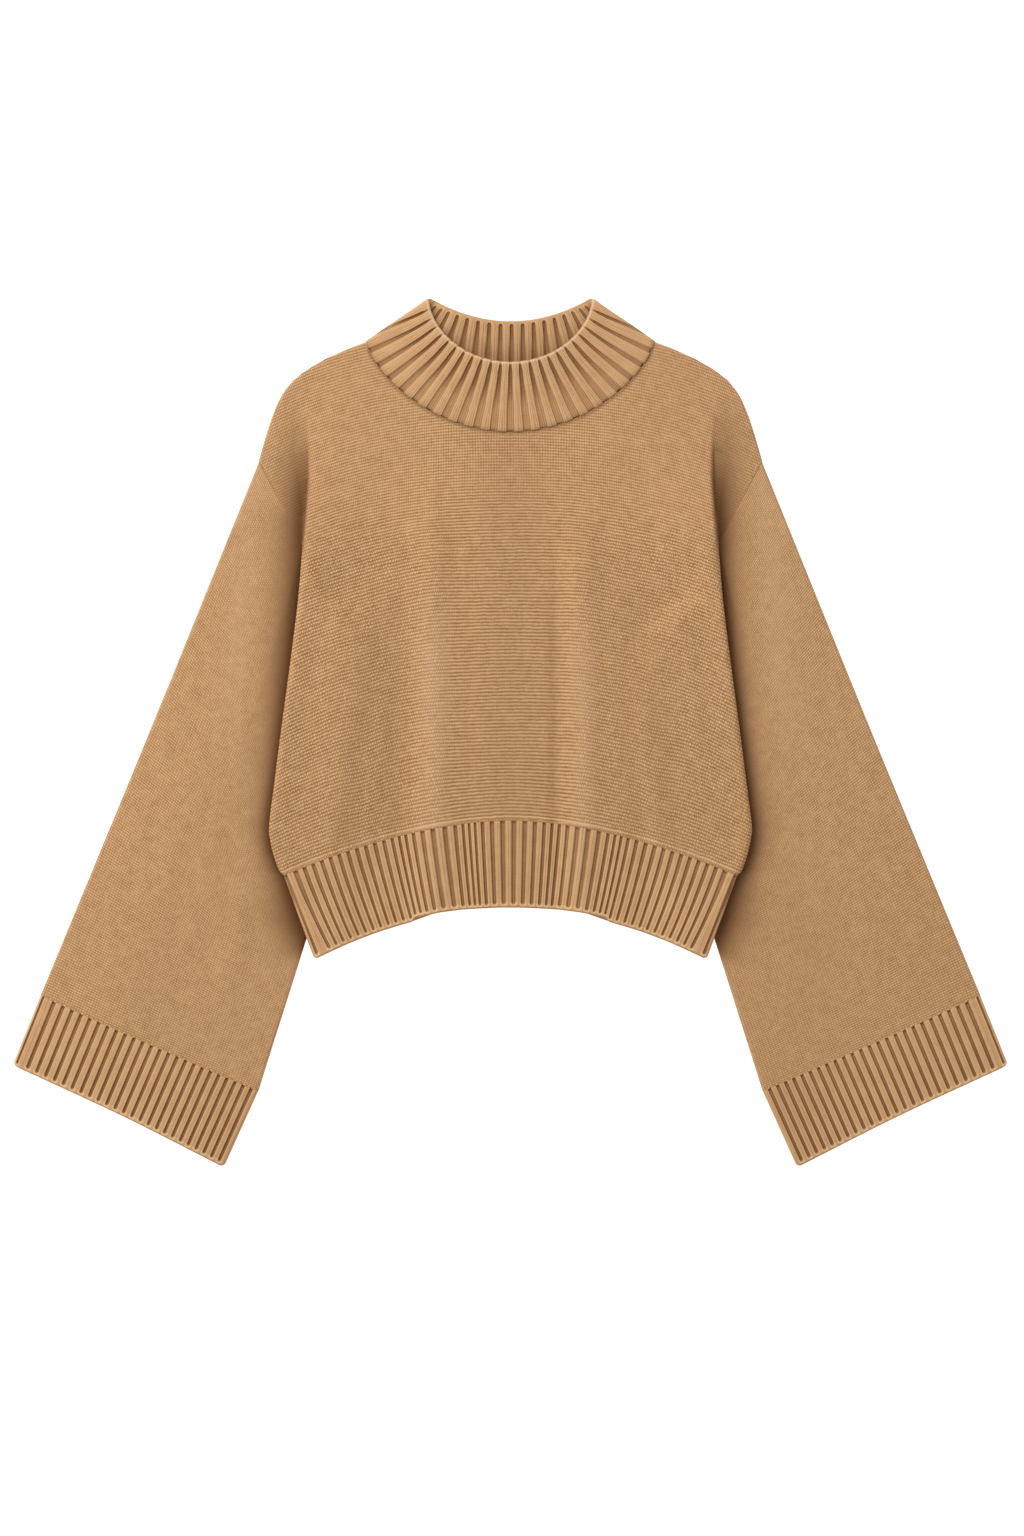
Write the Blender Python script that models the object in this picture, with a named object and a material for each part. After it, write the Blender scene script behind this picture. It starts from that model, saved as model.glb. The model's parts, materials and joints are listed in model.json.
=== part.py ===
"""Cropped, wide-sleeved knit sweater, laid flat on a surface.

Eight knitted pieces: front, back, two sleeves, ribbed collar, ribbed hem band
and two ribbed cuffs.  Every piece is a closed wall of cloth.  X runs across the
sweater, Y runs from the hem towards the collar and Z is up.  The helper
functions work in millimetres and each mesh is scaled to metres at the end.
"""

import math

import bpy
import numpy as np

MM = 0.001

# ---- driving dimensions, in millimetres ------------------------------------
WALL = 2.6               # plain knit
RIB_WALL = 2.4           # knit at the bottom of a rib's groove
RIB_HEIGHT = 1.8         # how far a rib stands above its groove
SEAM = 0.3               # clearance between two pieces sewn together
EDGE_GAP = 1.0           # air between two layers beside a folded edge
LOFT = 2.0               # further air between front and back, away from edges
EDGE_ROLL = 2.4          # further air in the roll of the body's folded edges
EDGE_ROLL_WIDTH = 26.0
SLEEVE_PUFF = 2.2        # further air inside a sleeve
SLEEVE_LIFT = 7.2        # height of the body's underside where a sleeve is under it
LIFT_RUN = 35.0          # width over which the body comes down beside that sleeve
LIFT_MARGIN = 10.0       # the body stays up this far past the sleeve's fold
CREASE_RADIUS = 4.0      # roll of the crease that runs up to the shoulder
CORNER_ROUND = 7.0       # rounded corners of the hem band and the cuffs
SLOT_END = 5.0           # a groove stops this far from a bound edge
GROOVE_SHARE = 0.42      # a groove's width as a share of the distance between grooves
LAY_CENTRE_Y = -1.44     # middle of the whole outline, moved to the origin
PAST_FOLD = 12.0         # a fold's thickness is taken this far in from it

NECK_HALF = 130.0        # collar seam, half width
NECK_Y = 350.5           # where the collar seam meets the shoulder
NECK_DROP_FRONT = 82.0
NECK_DROP_BACK = 38.0
NECK_POWER = 0.7
COLLAR_HALF = 73.5       # collar's top edge, half width
COLLAR_Y = 390.6
COLLAR_DROP_FRONT = 59.0
COLLAR_DROP_BACK = 21.2
COLLAR_POWER_FRONT = 0.54
COLLAR_POWER_BACK = 1.0
COLLAR_OPEN = 5.0        # how far the front band stands away from the back one
COLLAR_HEIGHT = 66.0

HEM_HALF = 204.0         # hem seam, half width
HEM_Y = -80.4
HEM_DROP = 49.6
HEM_POWER = 1.75
EDGE_HALF = 176.4        # bottom edge of the hem band, half width
EDGE_Y = -161.1
EDGE_DROP = 45.0
EDGE_POWER = 2.0
EDGE_STEP = (82.0, 94.0) # the bottom edge steps down between these distances from the middle
EDGE_STEP_INSIDE = 1.0
EDGE_STEP_OUTSIDE = 1.1
HEM_HEIGHT = 80.0

SLEEVE_LENGTH = 520.0
CUFF_HEIGHT = 72.0
PUFF_SHARE = 0.62        # share of a sleeve's width, from its outer fold, that is puffed

COLLAR_RIBS = 23
COLLAR_BACK_RIBS = 17
COLLAR_BACK_PITCH = 0.15 # radians between the back grooves, which crowd at the sides
COLLAR_GROOVE = 0.013    # half a front groove's width as a share of the band
COLLAR_BACK_GROOVE = 0.012
HEM_RIBS = 50
HEM_DENSITY = 50.6       # grooves to the whole width, before the changes below
CUFF_RIBS = 24
CUFF_CURVE = (0.031, 1.047, -0.075) # shares of the cuff's grooves, wider spaced at the outer fold

# ---- outlines of the left half; the right half is their mirror --------------
# columns: x, y.  Body's folded edge, from the hem seam to the armhole.
BODY_EDGE = (
    (-204.0, -130.0), (-208.0, -125.6), (-213.0, -112.0), (-216.0, -98.6),
    (-217.0, -85.0), (-212.0, -44.6), (-205.0, 9.5), (-197.7, 63.5),
    (-191.2, 116.0), (-188.4, 150.0), (-187.4, 167.0),
)
# columns: x, y.  Armhole seam, from the body's edge to the shoulder point.
ARMHOLE = ((-187.4, 167.0), (-227.0, 243.0))
# columns: x, y.  Outline of the shoulder up to where it turns towards the neck.
SHOULDER_SIDE = ((-227.0, 243.0), (-221.8, 261.5), (-214.5, 284.0), (-206.5, 302.0), (-196.6, 315.5))
# columns: x, y.  Outline of the shoulder from there to the collar.
SHOULDER_TOP = ((-196.6, 315.5), (-177.7, 329.0), (-150.7, 342.5), (-130.0, 350.5))
# columns: x, y.  Crease in the front, from its foot at the armhole upwards.
CREASE = (
    (-187.4, 167.0), (-184.6, 198.0), (-182.8, 225.0), (-182.8, 252.0),
    (-185.0, 280.0), (-188.5, 300.0), (-193.0, 330.0),
)
# columns: x, y.  Sleeve's outer fold and its cuff seam.
SLEEVE_OUTER = ((-227.0, 243.0), (-325.2, 0.0), (-423.4, -238.0))
CUFF_SEAM = ((-423.4, -238.0), (-326.0, -281.5), (-227.0, -324.2))
CUFF_OUTER = ((-423.4, -238.0), (-448.8, -301.4))
CUFF_INNER = ((-227.0, -324.2), (-258.4, -393.6))
CUFF_EDGE = ((-448.8, -301.4), (-353.0, -345.8), (-258.4, -393.6))
# columns: x, y.  Sleeve's seam where it runs on, unseen, beside and under the body.
ARMHOLE_LOW = ((-187.4, 167.0), (-191.2, 116.0))
UNDERARM = ((-191.2, 116.0), (-181.0, 104.0), (-163.0, 84.0), (-148.0, 58.0))
# columns: x, y.  Sleeve's inner fold, under the body and out to the cuff seam.
SLEEVE_INNER = (
    (-148.0, 58.0), (-146.0, 0.0), (-149.0, -50.0), (-158.0, -100.0),
    (-172.0, -150.0), (-187.0, -197.6), (-227.0, -324.2),
)
# columns: x, y.  Line beside which the body comes down from on top of the sleeve.
LIFT_LINE = (
    (-191.0, 118.0), (-174.0, 106.0), (-156.0, 88.0), (-145.0, 60.0), (-144.0, 0.0),
    (-150.0, -50.0), (-160.0, -100.0), (-166.0, -130.0), (-172.0, -205.0),
)

# ---- soft folds of the front: ridges are above zero, troughs below ----------
# columns: x and y at the top, x and y at the bottom, half width, height
FOLDS = (
    (-71.0, 250.0, -71.0, -240.0, 27.0, 4.6),
    (64.0, 230.0, 63.0, -240.0, 25.0, 4.6),
    (-112.0, 110.0, -149.0, -135.0, 17.0, -2.0),
    (113.0, 120.0, 152.0, -130.0, 17.0, -2.2),
    (-38.0, 150.0, -38.0, -240.0, 9.0, -0.8),
    (41.0, 160.0, 41.0, -240.0, 8.0, -1.3),
)
FOLD_FADE = 110.0        # length over which a fold rises below its top
FOLD_FOOT = 40.0         # and over which it dies out at the bottom

# The hem's ribs crowd in the troughs and spread on the ridges.
# columns: share of the width, reach, change in density
HEM_CROWDS = (
    (0.255, 0.022, 20.6), (0.338, 0.030, -14.0), (0.409, 0.022, 31.2), (0.500, 0.050, -9.6),
    (0.600, 0.018, 18.3), (0.668, 0.030, -11.5), (0.742, 0.022, 23.5),
)

# columns: name, colour (red, green, blue, linear), roughness
PLAIN_KNIT = ("camel_knit", (0.50, 0.31, 0.155), 0.9)
RIB_KNIT = ("camel_rib", (0.47, 0.285, 0.14), 0.9)


def smoothstep(low, high, value):
    """Ease from 0 at low to 1 at high."""
    share = np.clip((value - low) / (high - low), 0.0, 1.0)
    return share * share * (3.0 - 2.0 * share)


def through(points, steps=12):
    """Return a function of 0 to 1 that follows a smooth curve through points."""
    knots = np.array(points, dtype=float)
    padded = np.vstack([2 * knots[0] - knots[1], knots, 2 * knots[-1] - knots[-2]])
    dense = []
    for index in range(1, len(padded) - 2):
        before, start, end, after = padded[index - 1:index + 3]
        for share in np.arange(steps) / steps:
            dense.append(0.5 * (
                2 * start + (end - before) * share
                + (2 * before - 5 * start + 4 * end - after) * share ** 2
                + (3 * start - before - 3 * end + after) * share ** 3))
    dense.append(knots[-1])
    dense = np.array(dense)
    lengths = np.concatenate([[0.0], np.cumsum(np.hypot(*np.diff(dense, axis=0).T))])
    lengths /= lengths[-1]

    def at(share):
        share = np.asarray(share, dtype=float)
        return np.stack([np.interp(share, lengths, dense[:, 0]),
                         np.interp(share, lengths, dense[:, 1])], axis=-1)
    return at


def joined(*parts):
    """Join curves end to end; each part is (share of the range, curve)."""
    stops = np.cumsum([0.0] + [share for share, _ in parts])

    def at(share):
        share = np.asarray(share, dtype=float)
        point = parts[0][1](np.clip(share / stops[1], 0, 1))
        for index, (width, curve) in enumerate(parts[1:], start=1):
            local = np.clip((share - stops[index]) / width, 0, 1)
            point = np.where((share >= stops[index])[..., None], curve(local), point)
        return point
    return at


def mirrored(curve):
    """The same curve on the other side of the sweater."""
    return lambda share: curve(share) * np.array([-1.0, 1.0])


def bowl(half, top, drop, power):
    """A neckline hung from (-half, top) to (half, top): power 0.5 is an ellipse, 1 a parabola."""
    across = np.sin(np.linspace(-0.5 * math.pi, 0.5 * math.pi, 41))
    depth = np.maximum(1.0 - across ** 2, 0.0) ** power
    return through(np.stack([half * across, top - drop * depth], axis=-1), steps=2)


def arch(half, middle, drop, power):
    """A hem line that is highest at the middle and lower at both ends."""
    across = np.linspace(-1.0, 1.0, 41)
    return through(np.stack([half * across, middle - drop * abs(across) ** power], axis=-1), steps=2)


def hem_edge():
    """Bottom edge of the hem band: an arch with a small step beside each ridge."""
    x = np.linspace(-EDGE_HALF, EDGE_HALF, 121)
    beyond = smoothstep(*EDGE_STEP, abs(x))
    step = EDGE_STEP_INSIDE * smoothstep(20.0, 65.0, abs(x)) * (1 - beyond) - EDGE_STEP_OUTSIDE * beyond
    y = EDGE_Y - EDGE_DROP * abs(x / EDGE_HALF) ** EDGE_POWER + step
    return through(np.stack([x, y], axis=-1), steps=2)


def patch(bottom, top, left, right):
    """Fill four outline curves: across from 0 to 1, up from 0 to 1."""
    def at(across, up):
        across = np.asarray(across, dtype=float)
        up = np.asarray(up, dtype=float)
        a = across[..., None]
        b = up[..., None]
        rails = (1 - b) * bottom(across) + b * top(across) + (1 - a) * left(up) + a * right(up)
        corners = ((1 - a) * (1 - b) * bottom(0.0) + a * (1 - b) * bottom(1.0)
                   + (1 - a) * b * top(0.0) + a * b * top(1.0))
        return rails - corners
    return at


def inward(curve, share, side):
    """Unit normal of an outline curve in the plane, pointing into the piece."""
    step = 1e-3
    ahead = curve(np.clip(share + step, 0, 1)) - curve(np.clip(share - step, 0, 1))
    normal = np.stack([ahead[..., 1], -ahead[..., 0]], axis=-1) * side
    return normal / np.maximum(np.linalg.norm(normal, axis=-1, keepdims=True), 1e-9)


# ---- heights -----------------------------------------------------------------
LIFT_ENDS = (120.0, 166.0)               # the lift over the sleeve ends between these heights
ROLL_STARTS = (-205.0, -150.0)           # the edge roll begins between these
ROLL_ENDS = (150.0, 260.0)               # and dies out between these
CREASE_ENDS = (167.0, 300.0)             # the body stands high beside the crease between these
CREASE_BULGE = (8.0, 75.0)               # and comes down over this distance from it
SHOULDER_LOFT = 70.0                     # distance from the shoulder at which the loft is full
LIFT_X, LIFT_Y = np.array(LIFT_LINE[::-1]).T
CREASE_LINE = np.array(CREASE)
EDGE_LINE_X, EDGE_LINE_Y = np.array(
    sorted(BODY_EDGE + ((-EDGE_HALF, EDGE_Y - EDGE_DROP),) + CREASE[1:], key=lambda spot: spot[1])).T
EDGE_LINE_X = abs(EDGE_LINE_X)
SHOULDER_LINE = np.array(SHOULDER_SIDE + SHOULDER_TOP[1:])


def distance_to_shoulder(x, y):
    """Distance to the outline between the shoulder point and the collar."""
    nearest = np.full(np.shape(x), 1e9)
    for start, end in zip(SHOULDER_LINE[:-1], SHOULDER_LINE[1:]):
        run = end - start
        share = ((-abs(x) - start[0]) * run[0] + (y - start[1]) * run[1]) / (run @ run)
        share = np.clip(share, 0, 1)
        gap = np.hypot(-abs(x) - start[0] - share * run[0], y - start[1] - share * run[1])
        nearest = np.minimum(nearest, gap)
    return nearest


def underside(x, y):
    """Height of the body's underside: flat, and lifted over each sleeve."""
    rim = np.interp(y, LIFT_Y, LIFT_X) + LIFT_MARGIN
    over = 1.0 - smoothstep(rim, rim + LIFT_RUN, -abs(x))
    return SLEEVE_LIFT * over * (1.0 - smoothstep(*LIFT_ENDS, y))


def inside_crease(x, y):
    """Distance from the shoulder crease, positive on the body's side."""
    return -abs(x) - np.interp(y, CREASE_LINE[:, 1], CREASE_LINE[:, 0])


def folds(x, y):
    """Soft ridges and troughs of the front."""
    total = np.zeros(np.shape(x))
    for top_x, top_y, low_x, low_y, half, height in FOLDS:
        share = (top_y - y) / (top_y - low_y)
        middle = top_x + (low_x - top_x) * share
        across = np.clip(abs(x - middle) / half, 0, 1)
        along = smoothstep(0.0, FOLD_FADE, top_y - y) * smoothstep(0.0, FOLD_FOOT, y - low_y)
        total = total + height * along * np.cos(across * math.pi / 2) ** 2
    return total


def edge_roll(x, y):
    """The folded edges are fuller than the cloth between them."""
    inside = np.interp(y, EDGE_LINE_Y, EDGE_LINE_X) - abs(x)
    along = smoothstep(*ROLL_STARTS, y) * (1.0 - smoothstep(*ROLL_ENDS, y))
    return EDGE_ROLL * along * (1.0 - smoothstep(0.0, EDGE_ROLL_WIDTH, inside))


def body_top(x, y):
    """Height of the front's outer face, without the shoulder crease's step."""
    loft = LOFT * smoothstep(0.0, SHOULDER_LOFT, distance_to_shoulder(x, y)) + edge_roll(x, y)
    bulge = SLEEVE_LIFT * (1.0 - smoothstep(*CREASE_ENDS, y)) * smoothstep(*LIFT_ENDS, y)
    bulge = bulge * (1.0 - smoothstep(*CREASE_BULGE, inside_crease(x, y)))
    return underside(x, y) + 2 * WALL + EDGE_GAP + loft + bulge + folds(x, y)


def creased_top(x, y):
    """Height of the front above the armhole: it drops to the sleeve's level."""
    low = 2 * WALL + EDGE_GAP
    inside = np.clip(inside_crease(x, y) / CREASE_RADIUS, 0.0, 1.0)
    return low + (body_top(x, y) - low) * np.sqrt(1.0 - (1.0 - inside) ** 2)


# ---- solids from layers of points ----------------------------------------------
def closed_sheet(outer, inner):
    """Wall between two grids of the same shape, with a rim all round."""
    rows, columns = outer.shape[:2]
    points = np.concatenate([outer.reshape(-1, 3), inner.reshape(-1, 3)])
    index = np.arange(rows * columns).reshape(rows, columns)
    under = index + rows * columns
    faces = []
    for row in range(rows - 1):
        for column in range(columns - 1):
            corners = ((row, column), (row, column + 1), (row + 1, column + 1), (row + 1, column))
            faces.append([index[corner] for corner in corners])
            faces.append([under[corner] for corner in corners[::-1]])
    border = ([(0, column) for column in range(columns)]
              + [(row, columns - 1) for row in range(1, rows)]
              + [(rows - 1, column) for column in range(columns - 2, -1, -1)]
              + [(row, 0) for row in range(rows - 2, 0, -1)])
    for here, there in zip(border, border[1:] + border[:1]):
        faces.append([index[there], index[here], under[here], under[there]])
    return points, faces


def closed_tube(outer, inner):
    """Wall between two stacks of rings, with a rim at both ends."""
    columns = outer.shape[1]
    stack = np.concatenate([outer, inner[::-1]])
    rows = len(stack)
    faces = []
    for row in range(rows):
        below = (row + 1) % rows
        for column in range(columns):
            beside = (column + 1) % columns
            faces.append([row * columns + column, row * columns + beside,
                          below * columns + beside, below * columns + column])
    return stack.reshape(-1, 3), faces


def make_object(name, points, faces, finish):
    """Make a mesh object, faces pointing out, with its material."""
    corners = np.array(points)
    volume = 0.0
    for face in faces:
        for second, third in zip(face[1:-1], face[2:]):
            volume += np.dot(corners[face[0]], np.cross(corners[second], corners[third]))
    if volume < 0.0:
        faces = [face[::-1] for face in faces]
    corners[:, 1] -= LAY_CENTRE_Y
    mesh = bpy.data.meshes.new(name)
    mesh.from_pydata((corners * MM).tolist(), [], [[int(i) for i in face] for face in faces])
    mesh.update()
    mesh.shade_smooth()
    mesh.set_sharp_from_angle(angle=math.radians(50.0))
    piece = bpy.data.objects.new(name, mesh)
    bpy.context.scene.collection.objects.link(piece)
    piece.data.materials.append(knit_material(*finish))
    return piece


def knit_material(name, colour, roughness):
    """Matt knit in one plain colour."""
    material = bpy.data.materials.get(name) or bpy.data.materials.new(name)
    material.use_nodes = True
    shader = material.node_tree.nodes["Principled BSDF"]
    shader.inputs["Base Color"].default_value = (*colour, 1.0)
    shader.inputs["Roughness"].default_value = roughness
    shader.inputs["Metallic"].default_value = 0.0
    return material


# ---- front and back ----------------------------------------------------------------
EDGE_ANGLES = np.radians([0.0, 15.0, 30.0, 45.0, 60.0, 75.0, 90.0])
BEYOND_CREASE = (0.0, 1.2, 2.8, 5.0)     # columns that round the shoulder crease
SIDE_SHARES = (0.62, 0.20, 0.18)         # body edge, armhole, shoulder side
NECK_SHARE = 0.19                        # share of the top that is one shoulder
SIDE = joined(*zip(SIDE_SHARES, (through(BODY_EDGE), through(ARMHOLE), through(SHOULDER_SIDE))))
COLUMN_LENGTH = 400.0                    # usual distance from hem seam to top
NECK_CLEAR = 0.9                         # keeps the neckline's chords off the collar
SHOULDER_COLUMNS = 4
NECK_COLUMNS = 16
EDGE_ROWS = 12                           # rows beside the body edge, the armhole and above it
ARMHOLE_ROWS = 3
SHOULDER_ROWS = 3


def body_outline(neck_drop):
    """Outline patch of the front or the back, its neckline clear of the collar."""
    shoulder = through(SHOULDER_TOP)
    neck = bowl(NECK_HALF, NECK_Y, neck_drop + NECK_CLEAR, NECK_POWER)
    other = mirrored(shoulder)
    top = joined((NECK_SHARE, shoulder), (1 - 2 * NECK_SHARE, neck),
                 (NECK_SHARE, lambda share: other(1 - share)))
    return patch(arch(HEM_HALF, HEM_Y, HEM_DROP, HEM_POWER), top, SIDE, mirrored(SIDE)), top


def crease_share(outline, up):
    """Share of the row at which it crosses the left shoulder crease."""
    across = np.linspace(0.0, 0.2, 401)
    spots = outline(across, np.full_like(across, up))
    inside = inside_crease(spots[:, 0], spots[:, 1])
    return across[int(np.argmax(inside >= 0.0))]


def side_columns(outline, up, width):
    """Shares and roll angles of the columns beside the left edge of one row."""
    edge_end = SIDE_SHARES[0]
    shoulder_start = SIDE_SHARES[0] + SIDE_SHARES[1]
    spot = outline(np.array(PAST_FOLD / width), np.array(up))
    if up < edge_end - 1e-6:
        radius = 0.5 * (body_top(*spot) - underside(*spot))
        return radius * (1 - np.cos(EDGE_ANGLES)) / width, EDGE_ANGLES
    crossing = max(crease_share(outline, up) * width, 0.9)
    radius = 0.5 * (2 * WALL + EDGE_GAP)
    first = (0.0, 0.29 * radius, radius) if crossing > 2 * radius else (0.0, 0.3, 0.6)
    distance = np.array(first + tuple(crossing + step for step in BEYOND_CREASE))
    angles = np.full(7, math.pi / 2)
    if up > shoulder_start + 1e-6:
        angles[:3] = (0.0, math.pi / 4, math.pi / 2)
    return distance / width, angles


def body_layers(neck_drop, is_front):
    """Outer and inner grid of the front or the back."""
    outline, top = body_outline(neck_drop)
    outer = []
    inner = []
    for up in body_rows():
        ends = outline(np.array([0.0, 1.0]), np.array([up, up]))
        width = np.linalg.norm(ends[1] - ends[0])
        shares, angles = side_columns(outline, up, width)
        shoulder = np.linspace(shares[-1], NECK_SHARE, SHOULDER_COLUMNS + 1)[1:]
        even = np.linspace(0.0, 1.0, NECK_COLUMNS + 1)[1:-1]
        closer_at_ends = 0.5 * even + 0.25 * (1.0 - np.cos(math.pi * even))
        neck = NECK_SHARE + (1 - 2 * NECK_SHARE) * closer_at_ends
        across = np.concatenate([shares, shoulder, neck, (1 - shoulder)[::-1], (1 - shares)[::-1]])
        roll = np.full(len(across), math.pi / 2)
        roll[:len(angles)] = angles
        roll[-len(angles):] = angles[::-1]
        spots = outline(across, np.full_like(across, up))
        x, y = spots.T

        # the shoulders roll over at the top; the neckline is a plain cut edge
        on_shoulder = abs(across - 0.5) > 0.5 - NECK_SHARE - 1e-6
        radius = 0.5 * (2 * WALL + EDGE_GAP)
        reach = np.clip((1 - up) * COLUMN_LENGTH / radius, 0, 1)
        tip = np.where(on_shoulder, np.arccos(1 - reach), math.pi / 2)

        high = body_top(x, y) if up < SIDE_SHARES[0] - 1e-6 else creased_top(x, y)
        low = underside(x, y)
        centre = 0.5 * (high + low)
        raised = np.sin(roll) * np.sin(tip)
        face = centre + (high - centre) * raised if is_front else centre - (centre - low) * raised
        normals = np.where((across < 0.5)[:, None],
                           inward(SIDE, np.array(up), 1.0),
                           inward(mirrored(SIDE), np.array(up), -1.0))
        shift = (normals * np.cos(roll)[:, None]
                 + inward(top, across, 1.0) * np.cos(tip)[:, None])
        shift /= np.maximum(np.linalg.norm(shift, axis=1, keepdims=True), 1.0)
        under = spots + WALL * shift
        side = 1.0 if is_front else -1.0
        lap = side * 0.5 * SEAM * (1 - raised)
        outer.append(np.column_stack([spots, face + lap]))
        inner.append(np.column_stack([under, face + lap - side * WALL * raised]))
    return np.array(outer), np.array(inner)


def body_rows():
    """Shares of the body's height at which the rows lie."""
    edge_end = SIDE_SHARES[0]
    shoulder_start = edge_end + SIDE_SHARES[1]
    radius = 0.5 * (2 * WALL + EDGE_GAP)
    top = 1 - radius / COLUMN_LENGTH
    trim = 0.5 * SEAM / COLUMN_LENGTH
    return np.concatenate([
        np.linspace(2 * trim, edge_end, EDGE_ROWS + 1),
        np.linspace(edge_end, shoulder_start, ARMHOLE_ROWS + 1)[1:],
        np.linspace(shoulder_start, top, SHOULDER_ROWS + 1)[1:],
        [1 - 0.29 * radius / COLUMN_LENGTH, 1 - trim],
    ])


# ---- tubes: sleeves, cuffs, hem band and collar ---------------------------------------
TUBE_ANGLES = np.radians([0.0, 35.0, 65.0, 90.0])


def tube(upper, lower, heights, rows, ribs_up, ribs_low, plain_up, plain_low):
    """Rings of a flattened tube.

    upper, lower: outline patches of the two layers, which share their sides.
    heights: function of x, y, across, up that gives the height of the upper
    layer's outer face at a groove's bottom and of the lower layer's underside.
    rows: (share up the tube, corner inset in mm, rib height from 0 to 1).
    ribs_up, ribs_low: functions of up that give the shares of the grooves and
    their half widths, or None for a plain layer, whose columns are plain_up or
    plain_low.
    """
    wall = WALL if ribs_up is None else RIB_WALL
    outer = []
    inner = []
    for up, inset, rib_share in rows:
        ends = upper(np.array([0.0, 1.0]), np.array([up, up]))
        width = np.linalg.norm(ends[1] - ends[0])
        spot = upper(np.array(PAST_FOLD / width), np.array(up))
        high, low = heights(spot[0], spot[1], PAST_FOLD / width, up)
        radius = 0.5 * (high - low)
        angles = TUBE_ANGLES
        edge = (inset + radius * (1 - np.cos(angles))) / width
        ring_out = []
        ring_in = []
        for layer, outline, ribs, plain in ((1.0, upper, ribs_up, plain_up),
                                            (-1.0, lower, ribs_low, plain_low)):
            if ribs is None:
                middle = np.asarray(plain)
                rise = np.zeros(len(middle))
            else:
                centres, halves = ribs(up)
                middle = (centres[:, None] + np.reshape(halves, (-1, 1)) * np.array([-1.0, 0.0, 1.0])).ravel()
                middle = edge[-1] + (1 - 2 * edge[-1]) * middle
                rise = np.tile([1.0, 1.0 - rib_share, 1.0], len(centres))
            across = np.concatenate([edge, middle, (1 - edge)[::-1]])
            roll = np.concatenate([angles, np.full(len(middle), math.pi / 2), angles[::-1]])
            beside = np.ones(len(angles)) * (0.0 if ribs is None else RIB_HEIGHT)
            rise = np.concatenate([beside, rise * beside[0], beside])
            spots = outline(across, np.full_like(across, up))
            high, low = heights(spots[:, 0], spots[:, 1], across, up)
            centre = 0.5 * (high + low)
            step = np.where((across < 0.5)[:, None], *into_row(outline, up))
            under = spots + wall * step * np.cos(roll)[:, None]
            lift = np.sin(roll)
            if layer > 0:
                base = centre + (high - centre) * lift
                ring_out.append(np.column_stack([spots, base + rise * lift]))
                ring_in.append(np.column_stack([under, base - wall * lift]))
            else:
                base = centre - (centre - low) * lift
                fade = smoothstep(1.0, 0.55, abs(2 * across - 1))
                low_in = np.column_stack([under, base + (wall + rise * fade) * lift])
                ring_out.append(np.column_stack([spots, base])[1:-1][::-1])
                ring_in.append(low_in[1:-1][::-1])
        outer.append(np.concatenate(ring_out))
        inner.append(np.concatenate(ring_in))
    return np.array(outer), np.array(inner)


def into_row(outline, up):
    """Unit steps along one row into the piece, from its left and right end."""
    pair = []
    for end, near in ((0.0, 0.01), (1.0, 0.99)):
        run = outline(np.array(near), np.array(up)) - outline(np.array(end), np.array(up))
        pair.append(run / np.linalg.norm(run))
    return pair


def rib_rows(length):
    """Rows of a ribbed band: its seam, then the slot ends and rounded corners."""
    rows = [(0.5 * SEAM / length, 0.0, 1.0)]
    for left, share in ((SLOT_END, 1.0), (0.4 * SLOT_END, 0.0), (0.0, 0.0)):
        bend = max(CORNER_ROUND - left, 0.0)
        inset = CORNER_ROUND - math.sqrt(CORNER_ROUND ** 2 - bend ** 2)
        rows.append((1 - left / length, inset, share))
    return rows


def grooves(count):
    """Shares of evenly spaced grooves."""
    return (np.arange(count) + 0.5) / count


def half_widths(centres):
    """Half widths of grooves, from the distance to their neighbours."""
    bounds = np.concatenate([[0.0], 0.5 * (centres[1:] + centres[:-1]), [1.0]])
    pitch = np.minimum(np.diff(bounds), 1.2 * np.median(np.diff(bounds)))
    return 0.5 * GROOVE_SHARE * pitch


def make_front():
    outer, inner = body_layers(NECK_DROP_FRONT, True)
    return make_object("front", *closed_sheet(outer, inner), PLAIN_KNIT)


def make_back():
    outer, inner = body_layers(NECK_DROP_BACK, False)
    return make_object("back", *closed_sheet(outer, inner), PLAIN_KNIT)


SLEEVE_RIM_SHARES = (0.40, 0.25, 0.35)    # armhole, beside the body, under it


def sleeve_outline():
    """Outline patch of the left sleeve, from the armhole to the cuff seam."""
    def clear(line):
        return [(x - SEAM, y - 0.5 * SEAM) for x, y in line]

    parts = zip(SLEEVE_RIM_SHARES, (ARMHOLE[::-1], ARMHOLE_LOW, UNDERARM))
    rim = joined(*[(share, through(clear(line))) for share, line in parts])
    outer = through(clear(SLEEVE_OUTER[:1]) + list(SLEEVE_OUTER[1:]))
    inner = through(clear(SLEEVE_INNER[:1]) + list(SLEEVE_INNER[1:]))
    return patch(rim, through(CUFF_SEAM), outer, inner)


def sleeve_puff(across):
    """Air inside a sleeve, from its outer fold to where the body rests on it."""
    return SLEEVE_PUFF * np.sin(np.clip(across / PUFF_SHARE, 0, 1) * math.pi) ** 2


def sleeve_heights(x, y, across, up):
    """A sleeve lies flat and is a little puffed between its outer fold and the body."""
    puff = sleeve_puff(across) * smoothstep(0.0, 0.25, up)
    return 2 * WALL + EDGE_GAP + puff, np.zeros(np.shape(x))


def flip(points):
    """Mirror a stack of rings to the right side."""
    return points * np.array([-1.0, 1.0, 1.0])


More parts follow.
